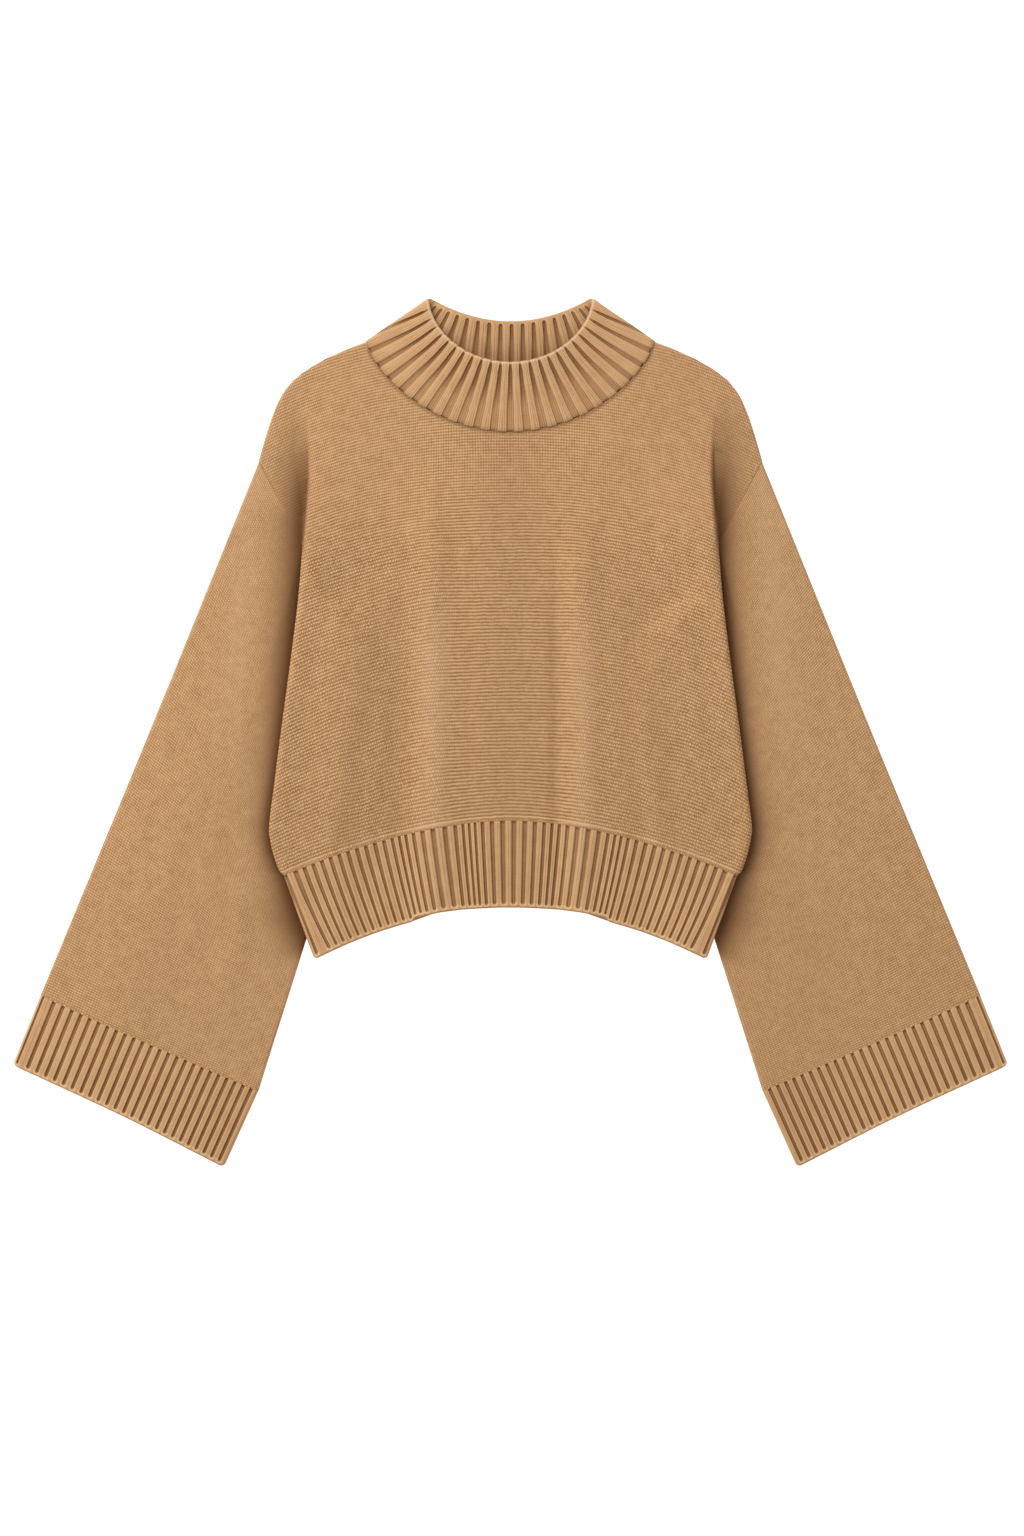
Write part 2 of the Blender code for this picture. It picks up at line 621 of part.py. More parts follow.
def make_sleeves():
    outline = sleeve_outline()
    end = 1 - 0.5 * SEAM / SLEEVE_LENGTH
    shares = np.concatenate([np.linspace(0.0, 0.3, 6), np.linspace(0.3, end, 8)[1:]])
    rows = [(share, 0.0, 0.0) for share in shares]
    upper = (0.1, 0.2, 0.3, 0.4, 0.525, 0.65, 0.75, 0.85, 0.93)
    lower = (0.2, 0.4, 0.65, 0.85)
    outer, inner = tube(outline, outline, sleeve_heights, rows, None, None, upper, lower)
    make_object("sleeve_left", *closed_tube(outer, inner), PLAIN_KNIT)
    make_object("sleeve_right", *closed_tube(flip(outer), flip(inner)), PLAIN_KNIT)


def cuff_heights(x, y, across, up):
    """A cuff continues the sleeve, its grooves level with the plain knit."""
    puff = sleeve_puff(across) * (1 - 0.6 * up)
    return WALL + RIB_WALL + EDGE_GAP + puff, np.zeros(np.shape(x))


def make_cuffs():
    outline = patch(through(CUFF_SEAM), through(CUFF_EDGE), through(CUFF_OUTER), through(CUFF_INNER))
    centres = np.polyval(CUFF_CURVE[::-1], grooves(CUFF_RIBS))
    outer, inner = tube(outline, outline, cuff_heights, rib_rows(CUFF_HEIGHT),
                        lambda up: (centres, half_widths(centres)), None, (), grooves(4))
    inner = inner[[0, -1]]
    make_object("cuff_left", *closed_tube(outer, inner), RIB_KNIT)
    make_object("cuff_right", *closed_tube(flip(outer), flip(inner)), RIB_KNIT)


def hem_heights(x, y, across, up):
    """The hem band continues the front and the back."""
    return body_top(x, y) - WALL + RIB_WALL, underside(x, y)


def hem_grooves():
    """Shares of the hem's grooves, crowded and spread."""
    place = np.linspace(0.0, 1.0, 2001)
    density = np.full(2001, HEM_DENSITY)
    for share, reach, change in HEM_CROWDS:
        density += change * np.exp(-((place - share) / reach) ** 2)
    total = np.concatenate([[0.0], np.cumsum(0.5 * (density[1:] + density[:-1]))])
    return np.interp(grooves(HEM_RIBS), total / total[-1], place)


def make_hem_band():
    side = through(((-HEM_HALF, HEM_Y - HEM_DROP), (-EDGE_HALF, EDGE_Y - EDGE_DROP)))
    outline = patch(arch(HEM_HALF, HEM_Y, HEM_DROP, HEM_POWER),
                    hem_edge(), side, mirrored(side))
    centres = hem_grooves()
    outer, inner = tube(outline, outline, hem_heights, rib_rows(HEM_HEIGHT),
                        lambda up: (centres, half_widths(centres)), None, (), grooves(24))
    make_object("hem_band", *closed_tube(outer, inner[[0, -1]]), RIB_KNIT)


def collar_heights(x, y, across, up):
    """The collar's front band rises away from its back band towards the top edge."""
    bow = 1.0 - abs(2 * across - 1) ** 2.5
    inside = WALL + EDGE_GAP + (LOFT + COLLAR_OPEN * up) * bow
    return inside + RIB_WALL, np.zeros(np.shape(x))


def make_collar():
    seam_half = NECK_HALF - NECK_CLEAR
    side = through(((-seam_half, NECK_Y), (-COLLAR_HALF, COLLAR_Y)))
    front = patch(bowl(seam_half, NECK_Y, NECK_DROP_FRONT, NECK_POWER),
                  bowl(COLLAR_HALF, COLLAR_Y, COLLAR_DROP_FRONT, COLLAR_POWER_FRONT),
                  side, mirrored(side))
    back = patch(bowl(seam_half, NECK_Y, NECK_DROP_BACK, NECK_POWER),
                 bowl(COLLAR_HALF, COLLAR_Y, COLLAR_DROP_BACK, COLLAR_POWER_BACK),
                 side, mirrored(side))
    turns = COLLAR_BACK_PITCH * (np.arange(COLLAR_BACK_RIBS) - COLLAR_BACK_RIBS // 2)

    def back_ribs(up):
        """Inside the back, the ribs stay nearly parallel though the band widens."""
        upright = COLLAR_HALF / (seam_half + (COLLAR_HALF - seam_half) * up)
        side_share = upright * np.sin(turns) + (1 - upright) * np.sin(turns) ** 3
        return 0.5 + 0.5 * side_share, COLLAR_BACK_GROOVE

    outer, inner = tube(front, back, collar_heights, rib_rows(COLLAR_HEIGHT),
                        lambda up: (grooves(COLLAR_RIBS), COLLAR_GROOVE), back_ribs, (), ())
    make_object("collar", *closed_tube(outer, inner), RIB_KNIT)


for old in list(bpy.data.objects):
    bpy.data.objects.remove(old, do_unlink=True)

make_front()
make_back()
make_sleeves()
make_collar()
make_hem_band()
make_cuffs()
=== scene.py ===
# %% [markdown]
# # A cropped knit sweater, laid flat
#
# The sweater is knitted in eight pieces: a front, a back, two wide sleeves, a
# ribbed collar, a ribbed hem band and two ribbed cuffs. It lies face up, and the
# sides of its body lie on its sleeves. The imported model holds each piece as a
# plain wall of cloth. This lesson dresses those walls: each one keeps its form
# and gets real knit courses, deep ribs, sewing and yarn.
#
# Every length below is in millimetres, because that is how a knitter measures.
# A mesh is scaled to metres when it is made.

# %% Load the frame that every piece is built around
import json
import math

import bpy
import numpy as np
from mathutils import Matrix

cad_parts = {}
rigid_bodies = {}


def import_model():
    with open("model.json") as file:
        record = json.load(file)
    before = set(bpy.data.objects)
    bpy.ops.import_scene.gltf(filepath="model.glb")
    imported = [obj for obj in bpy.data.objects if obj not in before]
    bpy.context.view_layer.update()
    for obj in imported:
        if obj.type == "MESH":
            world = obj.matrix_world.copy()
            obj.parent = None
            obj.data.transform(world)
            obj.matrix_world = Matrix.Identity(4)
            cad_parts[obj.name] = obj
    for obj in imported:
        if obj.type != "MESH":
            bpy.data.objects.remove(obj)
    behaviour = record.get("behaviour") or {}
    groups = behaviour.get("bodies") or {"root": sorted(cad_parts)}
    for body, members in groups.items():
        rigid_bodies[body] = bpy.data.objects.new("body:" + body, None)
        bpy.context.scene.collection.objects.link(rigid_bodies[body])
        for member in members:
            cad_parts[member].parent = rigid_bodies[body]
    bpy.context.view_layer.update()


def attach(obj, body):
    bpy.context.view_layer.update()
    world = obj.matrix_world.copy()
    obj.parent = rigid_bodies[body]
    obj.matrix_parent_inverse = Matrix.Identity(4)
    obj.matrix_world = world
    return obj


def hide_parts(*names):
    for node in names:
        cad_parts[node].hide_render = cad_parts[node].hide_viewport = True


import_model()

MM = 0.001                               # metres

# %% [markdown]
# ## Sizes
#
# The driving sizes of the walls and of the knit. A course is one row of
# stitches, and a wale is one column of them. This is a firm, medium-weight knit:
# about three courses to the centimetre and four wales.

# %% Walls, folds and knit
WALL = 2.6                               # plain knit
RIB_WALL = 2.4                           # knit at the bottom of a rib's groove
RIB_HEIGHT = 1.8                         # how far a rib stands above its groove
EDGE_GAP = 1.0                           # air between two layers beside a folded edge
LOFT = 2.0                               # further air between front and back, away from edges
EDGE_ROLL = 2.4                          # further air in the roll of the body's folded edges
EDGE_ROLL_WIDTH = 26.0
SLEEVE_PUFF = 2.2                        # further air inside a sleeve
SLEEVE_LIFT = 7.2                        # height of the body's underside where a sleeve is under it
LIFT_RUN = 35.0                          # width over which the body comes down beside that sleeve
LIFT_MARGIN = 10.0                       # the body stays up this far past the sleeve's fold
CREASE_RADIUS = 4.0                      # roll of the crease that runs up to the shoulder
CORNER_ROUND = 4.0                       # rounded corners of the hem band and the cuffs
LAY_CENTRE_Y = -1.44                     # middle of the whole outline, moved to the origin
PAST_FOLD = 12.0                         # a fold's thickness is taken this far in from it

NECK_HALF = 130.0                        # collar seam, half width
NECK_Y = 350.5
NECK_DROP_FRONT = 82.0
NECK_DROP_BACK = 38.0
NECK_POWER = 0.7
COLLAR_HALF = 73.5                       # collar's top edge, half width
COLLAR_Y = 390.6
COLLAR_DROP_FRONT = 59.0
COLLAR_DROP_BACK = 21.2
COLLAR_POWER_FRONT = 0.54
COLLAR_POWER_BACK = 1.0
COLLAR_OPEN = 5.0                        # how far the front band stands away from the back one
COLLAR_HEIGHT = 66.0

HEM_HALF = 204.0                         # hem seam, half width
HEM_Y = -80.4
HEM_DROP = 49.6
HEM_POWER = 1.75
EDGE_HALF = 176.4                        # bottom edge of the hem band, half width
EDGE_Y = -161.1
EDGE_DROP = 45.0
EDGE_POWER = 2.0
HEM_HEIGHT = 80.0

SLEEVE_LENGTH = 520.0
CUFF_HEIGHT = 72.0
PUFF_SHARE = 0.62                        # share of a sleeve's width, from its outer fold, that is puffed

COLLAR_RIBS = 23
COLLAR_BACK_RIBS = 17
COLLAR_BACK_PITCH = 0.1445
HEM_RIBS = 50
HEM_DENSITY = 50.6                       # grooves to the whole width, before they crowd and spread
CUFF_RIBS = 24
CUFF_CURVE = (0.031, 1.047, -0.075)      # shares of the cuff's grooves, wider spaced at the outer fold
EDGE_STEP = (84.5, 89.5)                 # the bottom edge steps down between these distances
EDGE_STEP_INSIDE = 1.4
EDGE_STEP_OUTSIDE = 1.7

COURSE = 3.15                            # height of a course on the body
TIGHT_COURSE = 2.65                      # under the collar
WALE = 2.4                               # width of a column of stitches on the body
SLEEVE_COURSE = 2.3
SLEEVE_WALE = 2.45
RIB_WALE = 2.0
RIB_COURSE = 2.0
OVERLAP = 0.7                            # how far one piece runs into the next at a seam
print("courses from the hem seam to the collar:", round((NECK_Y - NECK_DROP_FRONT - HEM_Y) / COURSE))

# %% [markdown]
# ## Outlines
#
# The outline of the left half, from the hem seam up over the armhole and the
# shoulder to the collar, then the sleeve. The right half is its mirror. Each
# line has only the points that its shape needs, and a smooth curve joins them.

# %% Outlines of the left half, columns: x, y
BODY_EDGE = (
    (-204.0, -130.0), (-208.0, -125.6), (-213.0, -112.0), (-216.0, -98.6),
    (-217.0, -85.0), (-212.0, -44.6), (-205.0, 9.5), (-197.7, 63.5),
    (-191.2, 116.0), (-188.4, 150.0), (-187.4, 167.0),
)
ARMHOLE = ((-187.4, 167.0), (-227.0, 243.0))
SHOULDER_SIDE = ((-227.0, 243.0), (-221.8, 261.5), (-214.5, 284.0), (-206.5, 302.0), (-196.6, 315.5))
SHOULDER_TOP = ((-196.6, 315.5), (-177.7, 329.0), (-150.7, 342.5), (-130.0, 350.5))
CREASE = (
    (-187.4, 167.0), (-184.6, 198.0), (-182.8, 225.0), (-182.8, 252.0),
    (-185.0, 280.0), (-188.5, 300.0), (-193.0, 330.0),
)
SLEEVE_OUTER = ((-227.0, 243.0), (-325.2, 0.0), (-423.4, -238.0))
CUFF_SEAM = ((-423.4, -238.0), (-326.0, -281.5), (-227.0, -324.2))
CUFF_OUTER = ((-423.4, -238.0), (-448.8, -301.4))
CUFF_INNER = ((-227.0, -324.2), (-258.4, -393.6))
CUFF_EDGE = ((-448.8, -301.4), (-353.0, -345.8), (-258.4, -393.6))
ARMHOLE_LOW = ((-187.4, 167.0), (-191.2, 116.0))
UNDERARM = ((-191.2, 116.0), (-181.0, 104.0), (-163.0, 84.0), (-148.0, 58.0))
SLEEVE_INNER = (
    (-148.0, 58.0), (-146.0, 0.0), (-149.0, -50.0), (-158.0, -100.0),
    (-172.0, -150.0), (-187.0, -197.6), (-227.0, -324.2),
)
LIFT_LINE = (
    (-191.0, 118.0), (-174.0, 106.0), (-156.0, 88.0), (-145.0, 60.0), (-144.0, 0.0),
    (-150.0, -50.0), (-160.0, -100.0), (-166.0, -130.0), (-172.0, -205.0),
)
SLEEVE_RIM_SHARES = (0.40, 0.25, 0.35)   # armhole, its lower part, underarm
print("from shoulder point to shoulder point, in mm:", -2 * ARMHOLE[1][0])

# %% [markdown]
# ## Soft folds
#
# Laid flat, the front keeps two long soft ridges that fall from the chest to
# the hem, a trough beside each and some shallower ones. None is as long, deep
# or wide as its neighbour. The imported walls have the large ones. The small ones
# that are added here are under a millimetre deep.

# %% Folds, columns: top x, top y, bottom x, bottom y, half width, height
FOLDS = (
    (-71.0, 250.0, -71.0, -240.0, 27.0, 4.6),
    (64.0, 230.0, 63.0, -240.0, 25.0, 4.6),
    (-112.0, 110.0, -149.0, -135.0, 17.0, -2.0),
    (113.0, 120.0, 152.0, -130.0, 17.0, -2.2),
    (-38.0, 150.0, -38.0, -240.0, 9.0, -0.8),
    (41.0, 160.0, 41.0, -240.0, 8.0, -1.3),
)
SMALL_FOLDS = (
    (-134.0, 190.0, -172.0, -20.0, 12.0, 0.6),
    (139.0, 170.0, 178.0, -35.0, 13.0, 0.7),
    (-20.0, 60.0, -14.0, -90.0, 11.0, 0.4),
    (15.0, 20.0, 18.0, -100.0, 9.0, 0.5),
    (-98.0, 20.0, -116.0, -110.0, 10.0, 0.5),
    (96.0, 45.0, 108.0, -100.0, 11.0, 0.6),
)
SLEEVE_FOLDS = (
    (-262.0, 130.0, -380.0, -190.0, 22.0, 0.7),
    (-236.0, 60.0, -318.0, -230.0, 20.0, -0.7),
    (-214.0, -20.0, -262.0, -260.0, 17.0, 0.8),
    (-330.0, -40.0, -392.0, -215.0, 18.0, -0.5),
)
FOLD_FADE = 110.0                        # length over which a fold rises below its top
FOLD_FOOT = 40.0                         # and over which it dies out at the bottom
print("folds of the body and of a sleeve:", len(FOLDS) + len(SMALL_FOLDS), len(SLEEVE_FOLDS))

# %% [markdown]
# Where the cloth is stretched over a ridge the yarn gets painted light, and in a
# trough it gets painted shade. The same kind of table says by how much.

# %% Painted light and shade, columns: top x, top y, bottom x, bottom y, half width, how much lighter
PAINTED_TONES = (
    (-68.0, 160.0, -68.0, -250.0, 28.0, 0.13),
    (66.0, 150.0, 66.0, -250.0, 25.0, 0.13),
    (-106.0, 190.0, -110.0, -250.0, 24.0, -0.10),
    (102.0, 190.0, 114.0, -250.0, 26.0, -0.10),
    (-122.0, 150.0, -156.0, -160.0, 20.0, -0.12),
    (120.0, 150.0, 152.0, -160.0, 20.0, -0.14),
    (0.0, 340.0, 0.0, -250.0, 64.0, -0.13),
    (37.0, 190.0, 38.0, -250.0, 10.0, -0.12),
    (-38.0, 190.0, -38.0, -250.0, 9.0, -0.05),
)
# painted shade that grows towards the bottom of the body
PAINTED_FALL = ((-200.0, 0.10), (-60.0, 0.05), (120.0, 0.0), (260.0, 0.0))   # height, how much darker
print("lighter and darker stretches of the body:", len(PAINTED_TONES))


# %% Small helpers: easing, curves and patches
def smoothstep(low, high, value):
    """Ease from 0 at low to 1 at high."""
    share = np.clip((value - low) / (high - low), 0.0, 1.0)
    return share * share * (3.0 - 2.0 * share)


def through(points, steps=12):
    """Return a function of 0 to 1 that follows a smooth curve through points."""
    knots = np.array(points, dtype=float)
    padded = np.vstack([2 * knots[0] - knots[1], knots, 2 * knots[-1] - knots[-2]])
    dense = []
    for index in range(1, len(padded) - 2):
        before, start, end, after = padded[index - 1:index + 3]
        for share in np.arange(steps) / steps:
            dense.append(0.5 * (
                2 * start + (end - before) * share
                + (2 * before - 5 * start + 4 * end - after) * share ** 2
                + (3 * start - before - 3 * end + after) * share ** 3))
    dense.append(knots[-1])
    dense = np.array(dense)
    lengths = np.concatenate([[0.0], np.cumsum(np.hypot(*np.diff(dense, axis=0).T))])
    lengths /= lengths[-1]

    def at(share):
        share = np.asarray(share, dtype=float)
        return np.stack([np.interp(share, lengths, dense[:, 0]),
                         np.interp(share, lengths, dense[:, 1])], axis=-1)
    return at


def joined(*parts):
    """Join curves end to end; each part is (share of the range, curve)."""
    stops = np.cumsum([0.0] + [share for share, _ in parts])

    def at(share):
        share = np.asarray(share, dtype=float)
        point = parts[0][1](np.clip(share / stops[1], 0, 1))
        for index, (width, curve) in enumerate(parts[1:], start=1):
            local = np.clip((share - stops[index]) / width, 0, 1)
            point = np.where((share >= stops[index])[..., None], curve(local), point)
        return point
    return at


def mirrored(curve):
    """The same curve on the other side of the sweater."""
    return lambda share: curve(share) * np.array([-1.0, 1.0])


def bowl(half, top, drop, power):
    """A neckline hung from (-half, top) to (half, top)."""
    across = np.sin(np.linspace(-0.5 * math.pi, 0.5 * math.pi, 81))
    depth = np.maximum(1.0 - across ** 2, 0.0) ** power
    return through(np.stack([half * across, top - drop * depth], axis=-1), steps=2)


def arch(half, middle, drop, power):
    """A hem line that is highest at the middle and lower at both ends."""
    across = np.linspace(-1.0, 1.0, 81)
    return through(np.stack([half * across, middle - drop * abs(across) ** power], axis=-1), steps=2)


def hem_edge():
    """Bottom edge of the hem band: an arch with a small step beside each ridge."""
    x = np.linspace(-EDGE_HALF, EDGE_HALF, 401)
    beyond = smoothstep(*EDGE_STEP, abs(x))
    step = EDGE_STEP_INSIDE * smoothstep(20.0, 65.0, abs(x)) * (1 - beyond) - EDGE_STEP_OUTSIDE * beyond
    y = EDGE_Y - EDGE_DROP * abs(x / EDGE_HALF) ** EDGE_POWER + step
    return through(np.stack([x, y], axis=-1), steps=2)


def patch(bottom, top, left, right):
    """Fill four outline curves: across from 0 to 1, up from 0 to 1."""
    def at(across, up):
        across = np.asarray(across, dtype=float)
        up = np.asarray(up, dtype=float)
        a = across[..., None]
        b = up[..., None]
        rails = (1 - b) * bottom(across) + b * top(across) + (1 - a) * left(up) + a * right(up)
        corners = ((1 - a) * (1 - b) * bottom(0.0) + a * (1 - b) * bottom(1.0)
                   + (1 - a) * b * top(0.0) + a * b * top(1.0))
        return rails - corners
    return at


# %% [markdown]
# ## Heights
#
# A sweater on a table is a landscape a few millimetres high. The back lies flat
# and is lifted where a sleeve is under it. The front lies on the back with a
# little air between them, fuller at the folded sides. Above the armhole the
# front steps down over a crease to the level of the sleeve.

# %% Heights of the body
LIFT_X, LIFT_Y = np.array(LIFT_LINE[::-1]).T
CREASE_X, CREASE_Y = np.array(CREASE).T
EDGE_LINE_X, EDGE_LINE_Y = np.array(
    sorted(BODY_EDGE + ((-EDGE_HALF, EDGE_Y - EDGE_DROP),) + CREASE[1:], key=lambda spot: spot[1])).T
SHOULDER_LINE = np.concatenate([
    through(SHOULDER_SIDE)(np.linspace(0, 1, 25)), through(SHOULDER_TOP)(np.linspace(0, 1, 17))[1:]])
UNDERARM_X, UNDERARM_Y = np.array(UNDERARM[::-1]).T
TUCK_STARTS = (35.0, 60.0)               # the back is tucked behind the sleeve's rim from these heights
TUCK_ENDS = (128.0, 140.0)               # to these
TUCK_RUN = (-3.0, 7.0)                   # and comes down between these distances from the rim
LIFT_ENDS = (120.0, 166.0)               # the lift over the sleeve ends between these heights
ROLL_STARTS = (-205.0, -150.0)           # the edge roll begins between these
ROLL_ENDS = (150.0, 260.0)               # and dies out between these
CREASE_ENDS = (167.0, 300.0)             # the body stands high beside the crease between these
CREASE_BULGE = (8.0, 75.0)               # and comes down over this distance from it
SHOULDER_LOFT = 70.0                     # distance from the shoulder at which the loft is full
LOW_LEVEL = 2 * WALL + EDGE_GAP          # two layers that lie on the table


def distance_to_shoulder(x, y):
    """Distance to the outline between the shoulder point and the collar."""
    nearest = np.full(np.shape(x), 1e9)
    for start, end in zip(SHOULDER_LINE[:-1], SHOULDER_LINE[1:]):
        run = end - start
        share = np.clip(((-abs(x) - start[0]) * run[0] + (y - start[1]) * run[1]) / (run @ run), 0, 1)
        gap = np.hypot(-abs(x) - start[0] - share * run[0], y - start[1] - share * run[1])
        nearest = np.minimum(nearest, gap)
    return nearest


def underside(x, y):
    """Height of the body's underside: flat, and lifted over each sleeve."""
    rim = np.interp(y, LIFT_Y, LIFT_X) + LIFT_MARGIN
    over = 1.0 - smoothstep(rim, rim + LIFT_RUN, -abs(x))
    return SLEEVE_LIFT * over * (1.0 - smoothstep(*LIFT_ENDS, y))


def tucked_underside(x, y):
    """The back's underside: past the sleeve's rim at the underarm it comes down to the table."""
    past_rim = -abs(x) - np.interp(y, UNDERARM_Y, UNDERARM_X)
    along = smoothstep(*TUCK_STARTS, y) * (1.0 - smoothstep(*TUCK_ENDS, y))
    return underside(x, y) * (1.0 - along * smoothstep(*TUCK_RUN, past_rim))


def inside_crease(x, y):
    """Distance from the shoulder crease, positive on the body's side."""
    return -abs(x) - np.interp(y, CREASE_Y, CREASE_X)


def soft_folds(x, y, table):
    """Sum of the soft ridges and troughs in a table."""
    total = np.zeros(np.shape(x))
    for top_x, top_y, low_x, low_y, half, height in table:
        share = (top_y - y) / (top_y - low_y)
        middle = top_x + (low_x - top_x) * share
        across = np.clip(abs(x - middle) / half, 0, 1)
        along = smoothstep(0.0, FOLD_FADE, top_y - y) * smoothstep(0.0, FOLD_FOOT, y - low_y)
        total = total + height * along * np.cos(across * math.pi / 2) ** 2
    return total


def painted_form_tone(x, y):
    """How much painted shade the yarn gets for the form it lies on; below 0 it gets painted light."""
    heights, falls = np.array(PAINTED_FALL).T
    return np.interp(y, heights, falls) - soft_folds(x, y, PAINTED_TONES)


def deepened(shade, depth):
    """A shade that is at least so deep, and stays as it is where the depth is 0."""
    share = smoothstep(0.0, 0.06, depth)
    return shade * (1 - share) + np.maximum(shade, depth) * share


def edge_roll(x, y):
    """The folded edges are fuller than the cloth between them."""
    inside = np.interp(y, EDGE_LINE_Y, abs(EDGE_LINE_X)) - abs(x)
    along = smoothstep(*ROLL_STARTS, y) * (1.0 - smoothstep(*ROLL_ENDS, y))
    return EDGE_ROLL * along * (1.0 - smoothstep(0.0, EDGE_ROLL_WIDTH, inside))


def body_top(x, y):
    """Height of the front's outer face, without the shoulder crease's step."""
    loft = LOFT * smoothstep(0.0, SHOULDER_LOFT, distance_to_shoulder(x, y)) + edge_roll(x, y)
    bulge = SLEEVE_LIFT * (1.0 - smoothstep(*CREASE_ENDS, y)) * smoothstep(*LIFT_ENDS, y)
    bulge = bulge * (1.0 - smoothstep(*CREASE_BULGE, inside_crease(x, y)))
    folds = soft_folds(x, y, FOLDS) + soft_folds(x, y, SMALL_FOLDS)
    return underside(x, y) + LOW_LEVEL + loft + bulge + folds


def creased_top(x, y):
    """Height of the front above the armhole: it drops to the sleeve's level."""
    inside = np.clip(inside_crease(x, y) / CREASE_RADIUS, 0.0, 1.0)
    return LOW_LEVEL + (body_top(x, y) - LOW_LEVEL) * np.sqrt(1.0 - (1.0 - inside) ** 2)


spots = np.array([[0.0, 0.0], [-71.0, 0.0], [-200.0, 0.0]])
print("height of the front at the middle, on a ridge and over a sleeve:", body_top(*spots.T).round(1))

# %% [markdown]
# ## Meshes from grids
#
# Knit fabric is a grid of stitches, so a grid of points is the natural mesh.
# The face that shows has four rows of points to each course, which is enough
# for a rounded ridge. The inner face of the wall has far fewer rows, and a
# small function laces the fine rim to the coarse one, so every piece is one
# closed body.


# %% Grid and mesh helpers
def grid_faces(index):
    """Four-sided faces of a grid of point numbers."""
    corners = [index[:-1, :-1], index[:-1, 1:], index[1:, 1:], index[1:, :-1]]
    return np.stack(corners, axis=-1).reshape(-1, 4).tolist()


def lace(first, second):
    """Triangles between two chains of points that run side by side."""
    faces = []
    here = there = 0
    while here < len(first) - 1 or there < len(second) - 1:
        ends_first = (here + 1) * (len(second) - 1) <= (there + 1) * (len(first) - 1)
        if there == len(second) - 1 or (here < len(first) - 1 and ends_first):
            faces.append([first[here], first[here + 1], second[there]])
            here += 1
        else:
            faces.append([first[here], second[there + 1], second[there]])
            there += 1
    return faces


def flipped(faces):
    """The same faces, turned over."""
    return [face[::-1] for face in faces]


def volume(points, faces):
    """Signed volume of a closed mesh, in cubic millimetres."""
    fans = np.array([[face[0], *pair] for face in faces for pair in zip(face[1:-1], face[2:])])
    first, second, third = (points[fans[:, corner]] for corner in range(3))
    return float((first * np.cross(second, third)).sum() / 6)


def make_piece(name, points, faces, **attributes):
    """Make an object from points in millimetres, faces outwards, with float attributes on its points."""
    if volume(points, faces) < 0:
        faces = [face[::-1] for face in faces]
    placed = (points - np.array([0.0, LAY_CENTRE_Y, 0.0])) * MM
    mesh = bpy.data.meshes.new(name)
    mesh.from_pydata(placed.tolist(), [], faces)
    for label, values in attributes.items():
        layer = mesh.attributes.new(label, "FLOAT", "POINT")
        layer.data.foreach_set("value", np.asarray(values, dtype=np.float32).ravel())
    mesh.shade_smooth()
    mesh.update()
    piece = bpy.data.objects.new(name, mesh)
    bpy.context.scene.collection.objects.link(piece)
    return piece


# %% [markdown]
# ## Trees of nodes
#
# Two kinds of tree are built below: Geometry Nodes, which raise ribs and courses
# and sow stitches, and shader trees. One small function adds a node of any
# kind. Another runs a Geometry Nodes tree on a piece and keeps its result as a
# plain mesh.


# %% Node helpers
SHARP_RIM = math.radians(72.0)           # edges sharper than this stay sharp


def add(tree, kind, inputs=(), **settings):
    """Add a node. An input is a value, a socket, or a node, whose first output is used."""
    node = tree.nodes.new(kind)
    for name, value in settings.items():
        setattr(node, name, value)
    for key, value in dict(inputs).items():
        if isinstance(value, bpy.types.Node):
            value = value.outputs[0]
        if isinstance(value, bpy.types.NodeSocket):
            tree.links.new(value, node.inputs[key])
        else:
            node.inputs[key].default_value = value
    return node


def new_geometry_tree(name, **sizes):
    """Start a Geometry Nodes tree with one named float input for each size."""
    tree = bpy.data.node_groups.new(name, "GeometryNodeTree")
    tree.interface.new_socket("Geometry", in_out="INPUT", socket_type="NodeSocketGeometry")
    for label, value in sizes.items():
        socket = tree.interface.new_socket(
            label.replace("_", " "), in_out="INPUT", socket_type="NodeSocketFloat")
        socket.default_value = value
    tree.interface.new_socket("Finish", in_out="INPUT", socket_type="NodeSocketMaterial")
    tree.interface.new_socket("Geometry", in_out="OUTPUT", socket_type="NodeSocketGeometry")
    return tree, add(tree, "NodeGroupInput").outputs


def end_tree(tree, given, geometry):
    """End a tree with real geometry that has its finish."""
    real = add(tree, "GeometryNodeRealizeInstances", {0: geometry})
    finished = add(tree, "GeometryNodeSetMaterial", {"Geometry": real, "Material": given["Finish"]})
    add(tree, "NodeGroupOutput", {0: finished})


def run_tree(piece, tree, finish, **sizes):
    """Run a Geometry Nodes tree on a piece and keep the result as its plain mesh."""
    modifier = piece.modifiers.new(tree.name, "NODES")
    modifier.node_group = tree
    sockets = {item.name: item.identifier for item in tree.interface.items_tree if item.in_out == "INPUT"}
    modifier[sockets["Finish"]] = finish
    for label, value in sizes.items():
        modifier[sockets[label.replace("_", " ")]] = value
    depsgraph = bpy.context.evaluated_depsgraph_get()
    made = bpy.data.meshes.new_from_object(
        piece.evaluated_get(depsgraph), preserve_all_data_layers=True, depsgraph=depsgraph)
    piece.modifiers.clear()
    old = piece.data
    piece.data = made
    bpy.data.meshes.remove(old)
    made.name = piece.name
    made.set_sharp_from_angle(angle=SHARP_RIM)
    triangles = sum(len(face.vertices) - 2 for face in made.polygons)
    print(f"{piece.name}: {triangles} triangles")
    return piece


# %% [markdown]
# ## Raising the courses
#
# In plain knit worn with its purl side out, every course stands up as a
# rounded ridge. The tree moves each point along its normal by a cosine of the
# course it is on. The attribute `face` is 1 on the side that shows and fades
# to 0 on the hidden ones.

